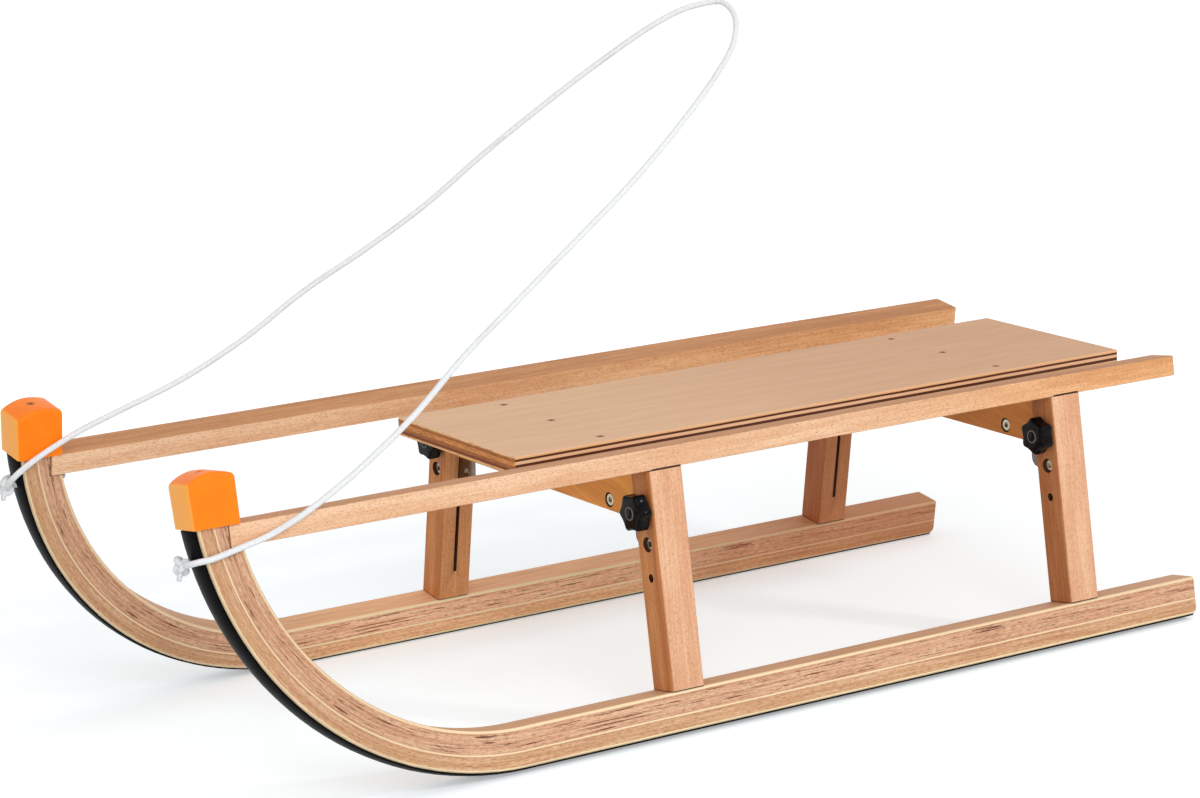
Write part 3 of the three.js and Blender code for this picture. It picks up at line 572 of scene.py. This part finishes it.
for side_name, side in sides:
    finish, tree, shader = new_finish(f"{side_name}_leg_beech", Specular_IOR_Level=0.22)
    axes = along_axes(tree, on_frame(tree, side))
    upright = add_node(tree, "ShaderNodeCombineXYZ", {
        "X": axes["Z"], "Y": axes["Y"], "Z": axes["X"]}).outputs[0]
    # The right legs are painted in deeper colours than the left ones: painted shade.
    if side < 0:
        side_wood = beech(tree, upright, (236, 190, 154), (218, 162, 124), 0.7)
        end_wood = beech(tree, upright, (216, 148, 90), (184, 112, 60), 0.6)
    else:
        side_wood = beech(tree, upright, (234, 172, 120), (212, 144, 92), 0.7)
        end_wood = beech(tree, upright, (224, 150, 88), (190, 116, 62), 0.6)
    # The front and back faces are painted a deeper orange, partly as shade.
    to_the_ends = rising(tree, facing(tree, "X"), 0.4, 0.8)
    colour = blended(tree, to_the_ends, side_wood["Color"], end_wood["Color"])
    # The rear posts are painted darker, on their front and back faces and on the right side all over:
    # painted shade
    is_rear = calc(tree, "GREATER_THAN", axes["X"], rear_half_x)
    shaded_rear_end = times(tree, is_rear, to_the_ends)
    colour = blended(tree, shaded_rear_end, colour, tone(120, 62, 34), 0.35 if side < 0 else 0.25)
    if side > 0:
        colour = blended(tree, is_rear, colour, tone(158, 80, 44), 0.45)
    # Shade is painted into the holes and the kerf, and painted shadow lines run along the joints at both
    # ends
    own_x = calc(tree, "SUBTRACT", axes["X"], calc(tree, "MULTIPLY_ADD", is_rear, leg_spacing, leg_x))
    foot_shadow_line = calc(tree, "LESS_THAN", axes["Z"], leg_foot)
    shade = calc(tree, "MAXIMUM", foot_shadow_line, calc(tree, "GREATER_THAN", axes["Z"], leg_head))
    kerf = times(tree, near(tree, own_x, 0, kerf_half), near(tree, axes["Y"], 0, kerf_reach))
    shade = calc(tree, "MAXIMUM", shade, kerf)
    sunk = near(tree, own_x, 0, leg_depth / 2 - 0.0004)
    for height, radius in (pivot_hole, lock_hole, knob_hole):
        reach = from_line(tree, axes["Y"], calc(tree, "SUBTRACT", axes["Z"], height))
        shade = calc(tree, "MAXIMUM", shade, times(tree, calc(tree, "LESS_THAN", reach, radius), sunk))
    colour = blended(tree, shade, colour, tone(62, 34, 22))
    lay_on(tree, shader, colour, side_wood["Roughness"], side_wood["Height"])
    for place_name in ("front", "rear"):
        dress(f"{side_name}_{place_name}_leg", f"{side_name}_{place_name}_post", f"{side_name}_frame",
              finish)


# Rails
# Beech boards laid on the heads of the legs, with their front ends let into the horns. Their long edges are
# planed to narrow chamfers, their corners are rounded, and their rear ends have sagged a little.
rail_front, rail_rear = -0.5173, 0.552
rail_bottom, rail_top = 0.2473, 0.2671
rail_width = 0.034
rail_inset = 0.001
rail_corner = 0.003
rail_chamfer = 0.0009
rail_sag = 0.0014
sag_length = 0.3
sag_start, sag_step = 0.2, 0.04


def add_piece(name, kind, **size):
    """A new primitive shape, selected by itself."""
    bpy.ops.object.select_all(action="DESELECT")
    getattr(bpy.ops.mesh, f"primitive_{kind}_add")(**size)
    piece = bpy.context.object
    piece.name = name
    piece.data.name = name
    bpy.ops.object.transform_apply(location=True, rotation=True, scale=True)
    return piece


def pick(piece, kind, chosen):
    """Selects the faces or edges of a piece in edit mode for which chosen says so."""
    bpy.ops.mesh.select_mode(type=kind)
    bpy.ops.mesh.select_all(action="DESELECT")
    shape = bmesh.from_edit_mesh(piece.data)
    shape.normal_update()
    for element in (shape.faces if kind == "FACE" else shape.edges):
        if chosen(element):
            element.select_set(True)
    bmesh.update_edit_mesh(piece.data)


def cut_out(piece, cutter):
    """Takes one piece's shape out of another."""
    apply_modifier(piece, "cut", "BOOLEAN", operation="DIFFERENCE", solver="EXACT", object=cutter)
    bpy.data.objects.remove(cutter)


def copy_of(template, name, place, body, slot, *nodes):
    """A copy with a mesh of its own, moved to its place, that stands for the named solids."""
    piece = bpy.data.objects.new(name, template.data.copy())
    piece.data.name = name
    piece.data.transform(place)
    bpy.context.scene.collection.objects.link(piece)
    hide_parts(*nodes)
    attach(piece, body)


def block(name, front, rear, width, bottom, top):
    """A block from front to rear and from bottom to top, with its width shared out to both sides."""
    return add_piece(name, "cube", size=1, location=((front + rear) / 2, 0, (bottom + top) / 2),
                     scale=(rear - front, width, top - bottom))


def span(edge, axis):
    """How far an edge reaches along an axis."""
    return abs(edge.verts[0].co[axis] - edge.verts[1].co[axis])


rail = block("rail", rail_front, rail_rear, rail_width, rail_bottom, rail_top)
bpy.ops.object.mode_set(mode="EDIT")
pick(rail, "EDGE", lambda edge: span(edge, 2) > 0.01
     and all(v.co.x > rail_rear - 0.0001 for v in edge.verts))
bpy.ops.mesh.bevel(offset=rail_corner, segments=4, affect="EDGES")
pick(rail, "EDGE", lambda edge: edge.calc_face_angle(0) > math.radians(60))
bpy.ops.mesh.bevel(offset=rail_chamfer, segments=2, affect="EDGES")
for step in range(1, 9):
    bpy.ops.mesh.select_all(action="SELECT")
    bpy.ops.mesh.bisect(plane_co=(sag_start + sag_step * step, 0, 0), plane_no=(1, 0, 0))
pick(rail, "EDGE", lambda edge: all(v.co.x > rail_rear - 2 * rail_corner for v in edge.verts))
bpy.ops.transform.translate(value=(0, 0, -rail_sag), use_proportional_edit=True,
                            proportional_size=sag_length, proportional_edit_falloff="SMOOTH")
bpy.ops.object.mode_set(mode="OBJECT")
smooth(rail, 35)
apply_modifier(rail, "level faces", "WEIGHTED_NORMAL", keep_sharp=True)
for side_name, side in sides:
    finish, tree, shader = new_finish(f"{side_name}_rail_beech", Specular_IOR_Level=0.22)
    place = on_frame(tree, side)
    wood = beech(tree, place, (238, 198, 162), (222, 172, 132), 0.75)
    rear_wood = beech(tree, place, (236, 180, 128), (212, 152, 100), 0.75)
    # The tops are painted browner and darker than the sides: painted shade.
    shaded_top_wood = beech(tree, place, (206, 148, 98), (182, 122, 74), 0.5)
    aft = along_axes(tree, place)["X"]
    # The boards turn deeper orange towards the rear; on the right rail, which lies in the seat's shade,
    # this starts near the front and is painted shade.
    rearwards = rising(tree, aft, 0.1 if side < 0 else -0.5, 0.5)
    colour = blended(tree, rearwards, wood["Color"], rear_wood["Color"])
    colour = blended(tree, rising(tree, facing(tree, "Z"), 0.75, 0.95), colour, shaded_top_wood["Color"])
    end_face = rising(tree, aft, rail_rear - 0.0012, rail_rear - 0.0008)
    colour = blended(tree, end_face, colour, tone(196, 136, 88))
    lay_on(tree, shader, colour, wood["Roughness"], wood["Height"])
    coat(rail, finish)
    place = frame_matrix(side) @ Matrix.Translation((0, -side * rail_inset, 0))
    copy_of(rail, f"{side_name}_side_rail", place, f"{side_name}_frame", "rail_beech",
            f"{side_name}_rail")
bpy.data.objects.remove(rail)


# Seat board
# Thick plywood board, sanded flat and left matt. Its long edges show pale and dark plies in turn, and its
# front and rear edges show one pale veneer on each face and the rough brown ends of the plies between.
seat_low, seat_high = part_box("seat_board")
finish, tree, shader = new_finish("seat_ply", Specular_IOR_Level=0.2)
place = object_place(tree)
axes = along_axes(tree, place)
share = calc(tree, "DIVIDE", calc(tree, "SUBTRACT", seat_high[2], axes["Z"]), seat_high[2] - seat_low[2])
level = wandering(tree, share, stretched_noise(tree, place, (18, 18, 60), detail=3))
long_plies = ramp(tree, level, [
    (0.0, tone(236, 186, 142)), (0.13, tone(222, 168, 120)), (0.155, tone(70, 32, 12)),
    (0.25, tone(84, 42, 18)), (0.28, tone(226, 178, 138)), (0.42, tone(224, 174, 134)),
    (0.445, tone(74, 34, 12)), (0.59, tone(84, 42, 20)), (0.62, tone(222, 172, 124)),
    (0.74, tone(222, 172, 124)), (0.77, tone(100, 54, 28)), (0.86, tone(222, 172, 124)),
])
end_plies = ramp(tree, level, [
    (0.0, tone(252, 206, 156)), (0.075, tone(246, 196, 144)), (0.10, tone(196, 130, 70)),
    (0.22, tone(160, 90, 36)), (0.30, tone(214, 140, 74)), (0.48, tone(218, 144, 78)),
    (0.56, tone(160, 92, 42)), (0.62, tone(180, 110, 58)), (0.76, tone(112, 52, 20)),
    (0.84, tone(140, 74, 34)), (0.88, tone(236, 170, 104)), (0.94, tone(252, 198, 140)),
])
torn = stretched_noise(tree, place, (200, 110, 1300), detail=5, roughness=0.75)
end_plies = blended(tree, rising(tree, torn, 0.46, 0.62), end_plies, tone(112, 60, 26), 0.7)
edge_colour = blended(tree, rising(tree, facing(tree, "X"), 0.5, 0.8), long_plies, end_plies)
front_wood = beech(tree, place, (224, 182, 144), (216, 173, 135), 0.12)
rear_wood = beech(tree, place, (212, 166, 130), (205, 158, 121), 0.12)
face_colour = blended(tree, rising(tree, axes["X"], -0.12, 0.42), front_wood["Color"], rear_wood["Color"])
colour = blended(tree, rising(tree, facing(tree, "Z"), 0.6, 0.9), edge_colour, face_colour)
lay_on(tree, shader, colour, front_wood["Roughness"], front_wood["Height"], strength=0.12)
coat(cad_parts["seat_board"], finish)


# Crossbars
# Varnished plywood on edge, golden orange, with a slot at each end for the hinge plates. The face grain
# runs a little aslant, and the sawn lower edge shows the plies.
ply_pair = 0.0037
counterbore_radius = 0.0074
finish, tree, shader = new_finish("crossbar_ply", Specular_IOR_Level=0.25, Coat_Weight=0.12,
                                  Coat_Roughness=0.25)
place = object_place(tree)
aslant = add_node(tree, "ShaderNodeMapping", {
    "Vector": place, "Rotation": (math.radians(-12), 0, math.radians(90))}).outputs[0]
wood = beech(tree, aslant, (244, 164, 66), (216, 136, 46), 0.3)
axes = along_axes(tree, place)
ply_step = calc(tree, "FRACT", times(tree, axes["X"], 1 / ply_pair))
ply_edge = blended(tree, rising(tree, ply_step, 0.4, 0.6), tone(176, 112, 56), tone(226, 168, 98))
colour = blended(tree, rising(tree, facing(tree, "X"), 0.4, 0.8), ply_edge, wood["Color"])
# The rear bar is painted redder and darker as shade, and shade is painted on the walls of the screws'
# counterbores
colour = blended(tree, calc(tree, "GREATER_THAN", axes["X"], rear_half_x), colour, tone(156, 84, 46), 0.45)
low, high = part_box("left_front_crossbar_screw")
across = calc(tree, "SUBTRACT", calc(tree, "ABSOLUTE", axes["Y"]), abs(low[1] + high[1]) / 2)
rise = calc(tree, "SUBTRACT", axes["Z"], (low[2] + high[2]) / 2)
shade = calc(tree, "LESS_THAN", from_line(tree, across, rise), counterbore_radius)
for name in ("front_crossbar", "rear_crossbar"):
    low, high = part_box(name)
    own_x = calc(tree, "ABSOLUTE", calc(tree, "SUBTRACT", axes["X"], (low[0] + high[0]) / 2))
    on_face = near(tree, own_x, (high[0] - low[0]) / 2, 0.0003)
    shade = times(tree, shade, calc(tree, "SUBTRACT", 1, on_face))
colour = blended(tree, shade, colour, tone(64, 38, 22))
lay_on(tree, shader, colour, wood["Roughness"], wood["Height"], strength=0.2)
for name in ("front_crossbar", "rear_crossbar"):
    coat(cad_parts[name], finish)


# Hinge plates, screws and inserts
# Zinc-plated steel plates and barrel screws, dull grey and worn bright along their edges, and brass
# threaded inserts that have darkened in the wood. All have their edges broken.
edge_break = 0.0003
worn_plating, given, result = new_group(
    "worn plating",
    [("Vector", "Place", None), ("Float", "Edges", 0.5), ("Color", "Bright", (0.5, 0.5, 0.5, 1)),
     ("Color", "Dull", (0.2, 0.2, 0.2, 1)), ("Float", "Smoothest", 0.3)],
    [("Color", "Color"), ("Float", "Roughness")],
)
tree = worn_plating
clouds = stretched_noise(tree, given["Place"], (160, 160, 160), detail=4)
scratches = stretched_noise(tree, given["Place"], (900, 4000, 500), detail=3)
colour = blended(tree, rising(tree, clouds, 0.35, 0.7), given["Bright"], given["Dull"])
colour = blended(tree, rising(tree, given["Edges"], 0.52, 0.6), colour, given["Bright"])
tree.links.new(colour, result["Color"])
tree.links.new(calc(tree, "MULTIPLY_ADD", scratches, 0.2, given["Smoothest"]), result["Roughness"])


def metal(name, bright, dull, roughness):
    """A plated metal with cloudy reflections, fine scratches and bright worn edges."""
    material, tree, shader = new_finish(name, Metallic=1.0)
    edges = add_node(tree, "ShaderNodeNewGeometry", {}).outputs["Pointiness"]
    plating = use_group(tree, worn_plating, {
        "Place": object_place(tree), "Edges": edges, "Bright": bright, "Dull": dull,
        "Smoothest": roughness - 0.08})
    lay_on(tree, shader, plating["Color"], plating["Roughness"])
    return material


zinc_steel = metal("zinc_steel", tone(188, 186, 180), tone(128, 122, 112), 0.36)
# The plates are tinted dark brown, a painted reflection of the wood beside them.
plate_steel = metal("plate_steel", tone(128, 118, 110), tone(74, 64, 58), 0.16)
barrel_steel = metal("barrel_steel", tone(196, 186, 164), tone(74, 66, 52), 0.24)
insert_brass = metal("insert_brass", tone(176, 150, 110), tone(104, 88, 70), 0.42)
for ending, finish in [
    ("_hinge_plate", plate_steel), ("_pivot_screw", barrel_steel), ("_crossbar_screw", barrel_steel),
    ("_stud", zinc_steel), ("_insert", insert_brass),
]:
    for node in [node for name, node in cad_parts.items() if name.endswith(ending)]:
        coat(node, finish)
        edges = node.modifiers.new("broken edges", "BEVEL")
        edges.width = edge_break
        edges.segments = 2
        edges.limit_method = "ANGLE"
        edges.angle_limit = math.radians(40)


# Countersunk screws
# Small brown steel screws with a cross recess, sunk a little into the seat and into the crowns of the
# caps. One is turned up from a disc, with the cross pressed into its head, and the others are copies of it.
screw_head = 0.0042
cap_screw_head = 0.0036
cap_screw_x, cap_screw_height = -0.53115, 0.3144
rim_height, cone_height, shank_length = 0.0003, 0.0023, 0.006
cross_size = (0.0050, 0.0011, 0.0032)
screw = add_piece("screw", "circle", vertices=32, radius=screw_head, fill_type="NGON")
bpy.ops.object.mode_set(mode="EDIT")
for depth, share in [(rim_height, 1), (cone_height, 0.5), (shank_length, 1)]:
    bpy.ops.mesh.extrude_region_move(TRANSFORM_OT_translate={"value": (0, 0, -depth)})
    bpy.ops.transform.resize(value=(share, share, 1), center_override=(0, 0, 0))
bpy.ops.mesh.select_all(action="SELECT")
bpy.ops.mesh.normals_make_consistent(inside=False)
pick(screw, "EDGE", lambda edge: all(v.co.z > -0.0001 for v in edge.verts) and len(edge.link_faces) == 2)
bpy.ops.mesh.bevel(offset=edge_break, segments=2, affect="EDGES")
bpy.ops.object.mode_set(mode="OBJECT")
for angle in (0, math.pi / 2):
    cut_out(screw, add_piece("blade", "cube", size=1, scale=cross_size, rotation=(0, 0, angle)))
smooth(screw, 35)
screw_brown = metal("screw_brown", tone(176, 128, 96), tone(120, 78, 56), 0.45)
screw.data.materials.append(screw_brown)

for place_name in ("front", "rear"):
    for number in (1, 2, 3):
        low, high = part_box(f"{place_name}_seat_screw_{number}")
        turn = Matrix.Rotation(0.7 * number + (0.4 if place_name == "rear" else 0), 4, "Z")
        place = Matrix.Translation(((low[0] + high[0]) / 2, (low[1] + high[1]) / 2, high[2])) @ turn
        copy_of(screw, f"{place_name}_countersunk_screw_{number}", place, "deck", "zinc_steel",
                f"{place_name}_seat_screw_{number}")
for side_name, side in sides:
    shrink = Matrix.Diagonal((cap_screw_head / screw_head,) * 3 + (1,))
    place = frame_matrix(side) @ Matrix.Translation((cap_screw_x, 0, cap_screw_height)) @ shrink
    copy_of(screw, f"{side_name}_cap_countersunk_screw", place, f"{side_name}_frame", "zinc_steel",
            f"{side_name}_cap_screw")
bpy.data.objects.remove(screw)


# Horn caps
# Hoods of orange plastic over the ends of the horns, moulded hollow from below, with soft upright edges and
# a crown that falls further to the front than to the back. A screw is sunk in the middle of each.
cap_front, cap_rear = -0.552, -0.5063
cap_bottom, cap_crown = 0.2674, 0.3150
cap_width = 0.0382
cap_wall = 0.0021
cap_edge = 0.0036
crown_x = cap_front + 0.51 * (cap_rear - cap_front)
front_lean, rear_lean = 0.0026, 0.0008
front_drop, rear_drop = 0.0076, 0.0048
screw_hole = 0.0039
cap = block("cap", cap_front, cap_rear, cap_width, cap_bottom, cap_crown)
bpy.ops.object.mode_set(mode="EDIT")
for face_x, lean in [(cap_front, front_lean), (cap_rear, rear_lean)]:
    pick(cap, "EDGE", lambda edge: all(abs(v.co.x - face_x) < 0.0001 and v.co.z > cap_crown - 0.0001
                                       for v in edge.verts))
    bpy.ops.transform.translate(value=(-lean, 0, 0))
# The crown is cut to a curve by planes that touch it
for reach, drop in [(cap_front - crown_x, front_drop), (cap_rear - crown_x, rear_drop)]:
    for share in (0.17, 0.34, 0.5, 0.66, 0.82, 0.95):
        x, fall = share * reach, drop * share ** 2
        outwards = Vector((2 * fall / x, 0, 1)).normalized()
        bpy.ops.mesh.select_all(action="SELECT")
        bpy.ops.mesh.bisect(plane_co=(crown_x + x, 0, cap_crown - fall), plane_no=outwards, use_fill=True,
                            clear_outer=True)
pick(cap, "EDGE", lambda edge: edge.calc_face_angle(0) > math.radians(40)
     and all(v.co.z > cap_bottom + 0.001 for v in edge.verts) or span(edge, 2) > 0.03)
bpy.ops.mesh.bevel(offset=cap_edge, segments=6, affect="EDGES")
pick(cap, "FACE", lambda face: face.normal.z < -0.9)
bpy.ops.mesh.delete(type="ONLY_FACE")
bpy.ops.object.mode_set(mode="OBJECT")
apply_modifier(cap, "wall", "SOLIDIFY", thickness=cap_wall, offset=-1)
cut_out(cap, add_piece("hole", "cylinder", vertices=32, radius=screw_hole, depth=0.006,
                       location=(cap_screw_x, 0, cap_screw_height + cap_wall)))
smooth(cap, 40)

cap_orange, tree, shader = new_finish("cap_orange", IOR=1.3)
place = object_place(tree)
cloud = stretched_noise(tree, place, (60, 60, 60), detail=3)
grain = stretched_noise(tree, place, (2600, 2600, 2600), detail=2)
scuffs = stretched_noise(tree, place, (160, 900, 420), detail=5, roughness=0.65)
orange = blended(tree, rising(tree, cloud, 0.3, 0.7), tone(255, 130, 8), tone(252, 124, 2))
orange = blended(tree, rising(tree, scuffs, 0.62, 0.8), orange, tone(255, 160, 70), 0.25)
# The front and back faces are painted paler and yellower: painted light.
orange = blended(tree, rising(tree, facing(tree, "X"), 0.5, 0.9), orange, tone(255, 178, 76), 0.85)
roughness = calc(tree, "MULTIPLY_ADD", scuffs, 0.18, 0.3)
lay_on(tree, shader, orange, roughness, grain, strength=0.12, depth=0.0001)
cap.data.materials.append(cap_orange)
for side_name, side in sides:
    copy_of(cap, f"{side_name}_cap_hood", frame_matrix(side), f"{side_name}_frame", "cap_orange",
            f"{side_name}_horn_cap")
bpy.data.objects.remove(cap)


# Star knobs
# Glossy black plastic heads with six round lobes, a domed rim and a ring pressed into the middle of the
# face. One is shaped from a twelve-sided block by pushing in every second corner, and copied four times.
knob_corner = 0.0198
knob_waist = 0.0152
knob_thickness = 0.013
lobe_round, face_round, back_round = 0.0036, 0.0026, 0.0014
disc_radius, disc_depth, disc_rise = 0.0065, 0.004, 0.0007
ring_width, groove_width, groove_depth = 0.0012, 0.0005, 0.0005
floor_width, middle_rise, disc_break = 0.0004, 0.0004, 0.00018
rubbed_sheen_from, rubbed_sheen_to = 0.005, 0.0066
hub_radius, hub_height, hub_sunk = 0.0075, 0.0025, 0.002
to_the_front = (0, math.pi / 2, 0)
knob_back = disc_rise + knob_thickness
knob = add_piece("knob", "cylinder", vertices=12, radius=knob_corner, depth=knob_thickness,
                 location=(disc_rise + knob_thickness / 2, 0, 0), rotation=to_the_front)
bpy.ops.object.mode_set(mode="EDIT")
pick(knob, "EDGE", lambda edge: span(edge, 0) > 0.01
     and round(math.degrees(math.atan2(edge.verts[0].co.z, edge.verts[0].co.y)) / 30) % 2 == 1)
waist_share = knob_waist / knob_corner
bpy.ops.transform.resize(value=(1, waist_share, waist_share), center_override=(0, 0, 0))
pick(knob, "EDGE", lambda edge: span(edge, 0) > 0.01)
bpy.ops.mesh.bevel(offset=lobe_round, segments=6, affect="EDGES")
pick(knob, "EDGE", lambda edge: all(v.co.x < disc_rise + 0.0001 for v in edge.verts))
bpy.ops.mesh.bevel(offset=face_round, segments=5, affect="EDGES")
pick(knob, "EDGE", lambda edge: all(v.co.x > knob_back - 0.0001 for v in edge.verts))
bpy.ops.mesh.bevel(offset=back_round, segments=3, affect="EDGES")
bpy.ops.object.mode_set(mode="OBJECT")
disc = add_piece("disc", "cylinder", vertices=48, radius=disc_radius, depth=disc_depth,
                 location=(disc_depth / 2, 0, 0), rotation=to_the_front)
bpy.ops.object.mode_set(mode="EDIT")
pick(disc, "FACE", lambda face: face.normal.x < -0.9)
bpy.ops.mesh.inset(thickness=ring_width)
bpy.ops.mesh.inset(thickness=groove_width)
bpy.ops.mesh.extrude_region_move(TRANSFORM_OT_translate={"value": (groove_depth, 0, 0)})
bpy.ops.mesh.inset(thickness=floor_width)
bpy.ops.mesh.extrude_region_move(TRANSFORM_OT_translate={"value": (-middle_rise, 0, 0)})
pick(disc, "EDGE", lambda edge: edge.calc_face_angle(0) > math.radians(40))
bpy.ops.mesh.bevel(offset=disc_break, segments=2, affect="EDGES")
bpy.ops.object.mode_set(mode="OBJECT")
hub = add_piece("hub", "cylinder", vertices=40, radius=hub_radius, depth=hub_height + hub_sunk,
                location=(knob_back + (hub_height - hub_sunk) / 2, 0, 0), rotation=to_the_front)
for piece in (disc, hub, knob):
    piece.select_set(True)
bpy.context.view_layer.objects.active = knob
bpy.ops.object.join()
smooth(knob, 38)
# The ring round the middle of the face is painted a lighter grey, partly rubbed and partly a painted
# reflection
spreads = [math.hypot(v.co.y, v.co.z) for v in knob.data.vertices]
ring = knob.data.attributes.new("ring", "FLOAT", "POINT")
ring.data.foreach_set("value", [float(rubbed_sheen_from < spread < rubbed_sheen_to) for spread in spreads])

knob_black, tree, shader = new_finish("knob_black", IOR=1.17)
place = object_place(tree)
smudges = stretched_noise(tree, place, (220, 220, 220), detail=4)
pits = stretched_noise(tree, place, (3200, 3200, 3200), detail=2)
black = blended(tree, rising(tree, smudges, 0.4, 0.75), tone(8, 6, 6), tone(18, 14, 13))
# The ring's lighter grey is partly wear and partly a painted reflection.
rubbed_sheen = add_node(tree, "ShaderNodeAttribute", {}, attribute_name="ring").outputs["Fac"]
black = blended(tree, rubbed_sheen, black, tone(120, 116, 112), 0.7)
roughness = calc(tree, "MULTIPLY_ADD", smudges, 0.1, 0.06)
lay_on(tree, shader, black, roughness, pits, strength=0.04, depth=0.0001)
knob.data.materials.append(knob_black)
for side_name, side in sides:
    for place_name, turn in [("front", 0), ("rear", math.pi / 6)]:
        low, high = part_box(f"{side_name}_{place_name}_knob_head")
        place = Matrix.Translation((low[0], (low[1] + high[1]) / 2, (low[2] + high[2]) / 2))
        place = place @ Matrix.Rotation(side * splay + turn, 4, "X")
        copy_of(knob, f"{side_name}_{place_name}_star_knob", place, f"{side_name}_{place_name}_knob",
                "knob_black", f"{side_name}_{place_name}_knob_head")
bpy.data.objects.remove(knob)


# Studio
# A pale floor, an even white sky, one large soft lamp from the left and a small one from behind for the
# glints on the black plastic. The floor keeps the sledge's shadow, and further out it looks white.
lamps = [("left_lamp", 2.5, 60, (-1.6, -3.2, 2.2)), ("glint_lamp", 0.25, 17, (1.71, -2.29, 1.85))]
lit_place = Vector((0, 0, 0.2))


def seen_share(tree):
    """1 for what the camera sees, in a mirror or through glass too, or else 0."""
    sight = add_node(tree, "ShaderNodeLightPath", {}).outputs
    direct = calc(tree, "MAXIMUM", sight["Is Camera Ray"], sight["Is Glossy Ray"])
    return calc(tree, "MAXIMUM", direct, sight["Is Transmission Ray"])


floor = add_piece("studio_floor", "plane", size=60)
finish, tree, shader = new_finish("studio_floor", roughness=0.9, Specular_IOR_Level=0.1)
outwards = add_node(tree, "ShaderNodeVectorMath", {0: object_place(tree)},
                    operation="LENGTH").outputs["Value"]
pale = blended(tree, rising(tree, outwards, 0.3, 0.8), (0.78, 0.85, 0.885, 1), (0.80, 0.825, 0.838, 1))
tree.links.new(pale, shader.inputs["Base Color"])
strength = calc(tree, "MULTIPLY_ADD", rising(tree, outwards, 0.8, 1.6), 0.2, 0.34)
glow = add_node(tree, "ShaderNodeEmission", {"Strength": times(tree, seen_share(tree), strength)})
both = add_node(tree, "ShaderNodeAddShader", {0: shader.outputs[0], 1: glow.outputs[0]})
tree.links.new(both.outputs[0], tree.nodes["Material Output"].inputs["Surface"])
floor.data.materials.append(finish)
world = bpy.data.worlds.new("studio")
world.use_nodes = True
tree = world.node_tree
strength = calc(tree, "MULTIPLY_ADD", seen_share(tree), 0.3, 0.7)
tree.nodes["Background"].inputs["Color"].default_value = (1, 1, 1, 1)
tree.links.new(strength, tree.nodes["Background"].inputs["Strength"])
bpy.context.scene.world = world
for name, size, energy, spot in lamps:
    lamp = bpy.data.objects.new(name, bpy.data.lights.new(name, "AREA"))
    lamp.data.size = size
    lamp.data.energy = energy
    lamp.location = spot
    lamp.rotation_euler = (lit_place - lamp.location).to_track_quat("-Z", "Y").to_euler()
    bpy.context.scene.collection.objects.link(lamp)

bpy.context.view_layer.update()
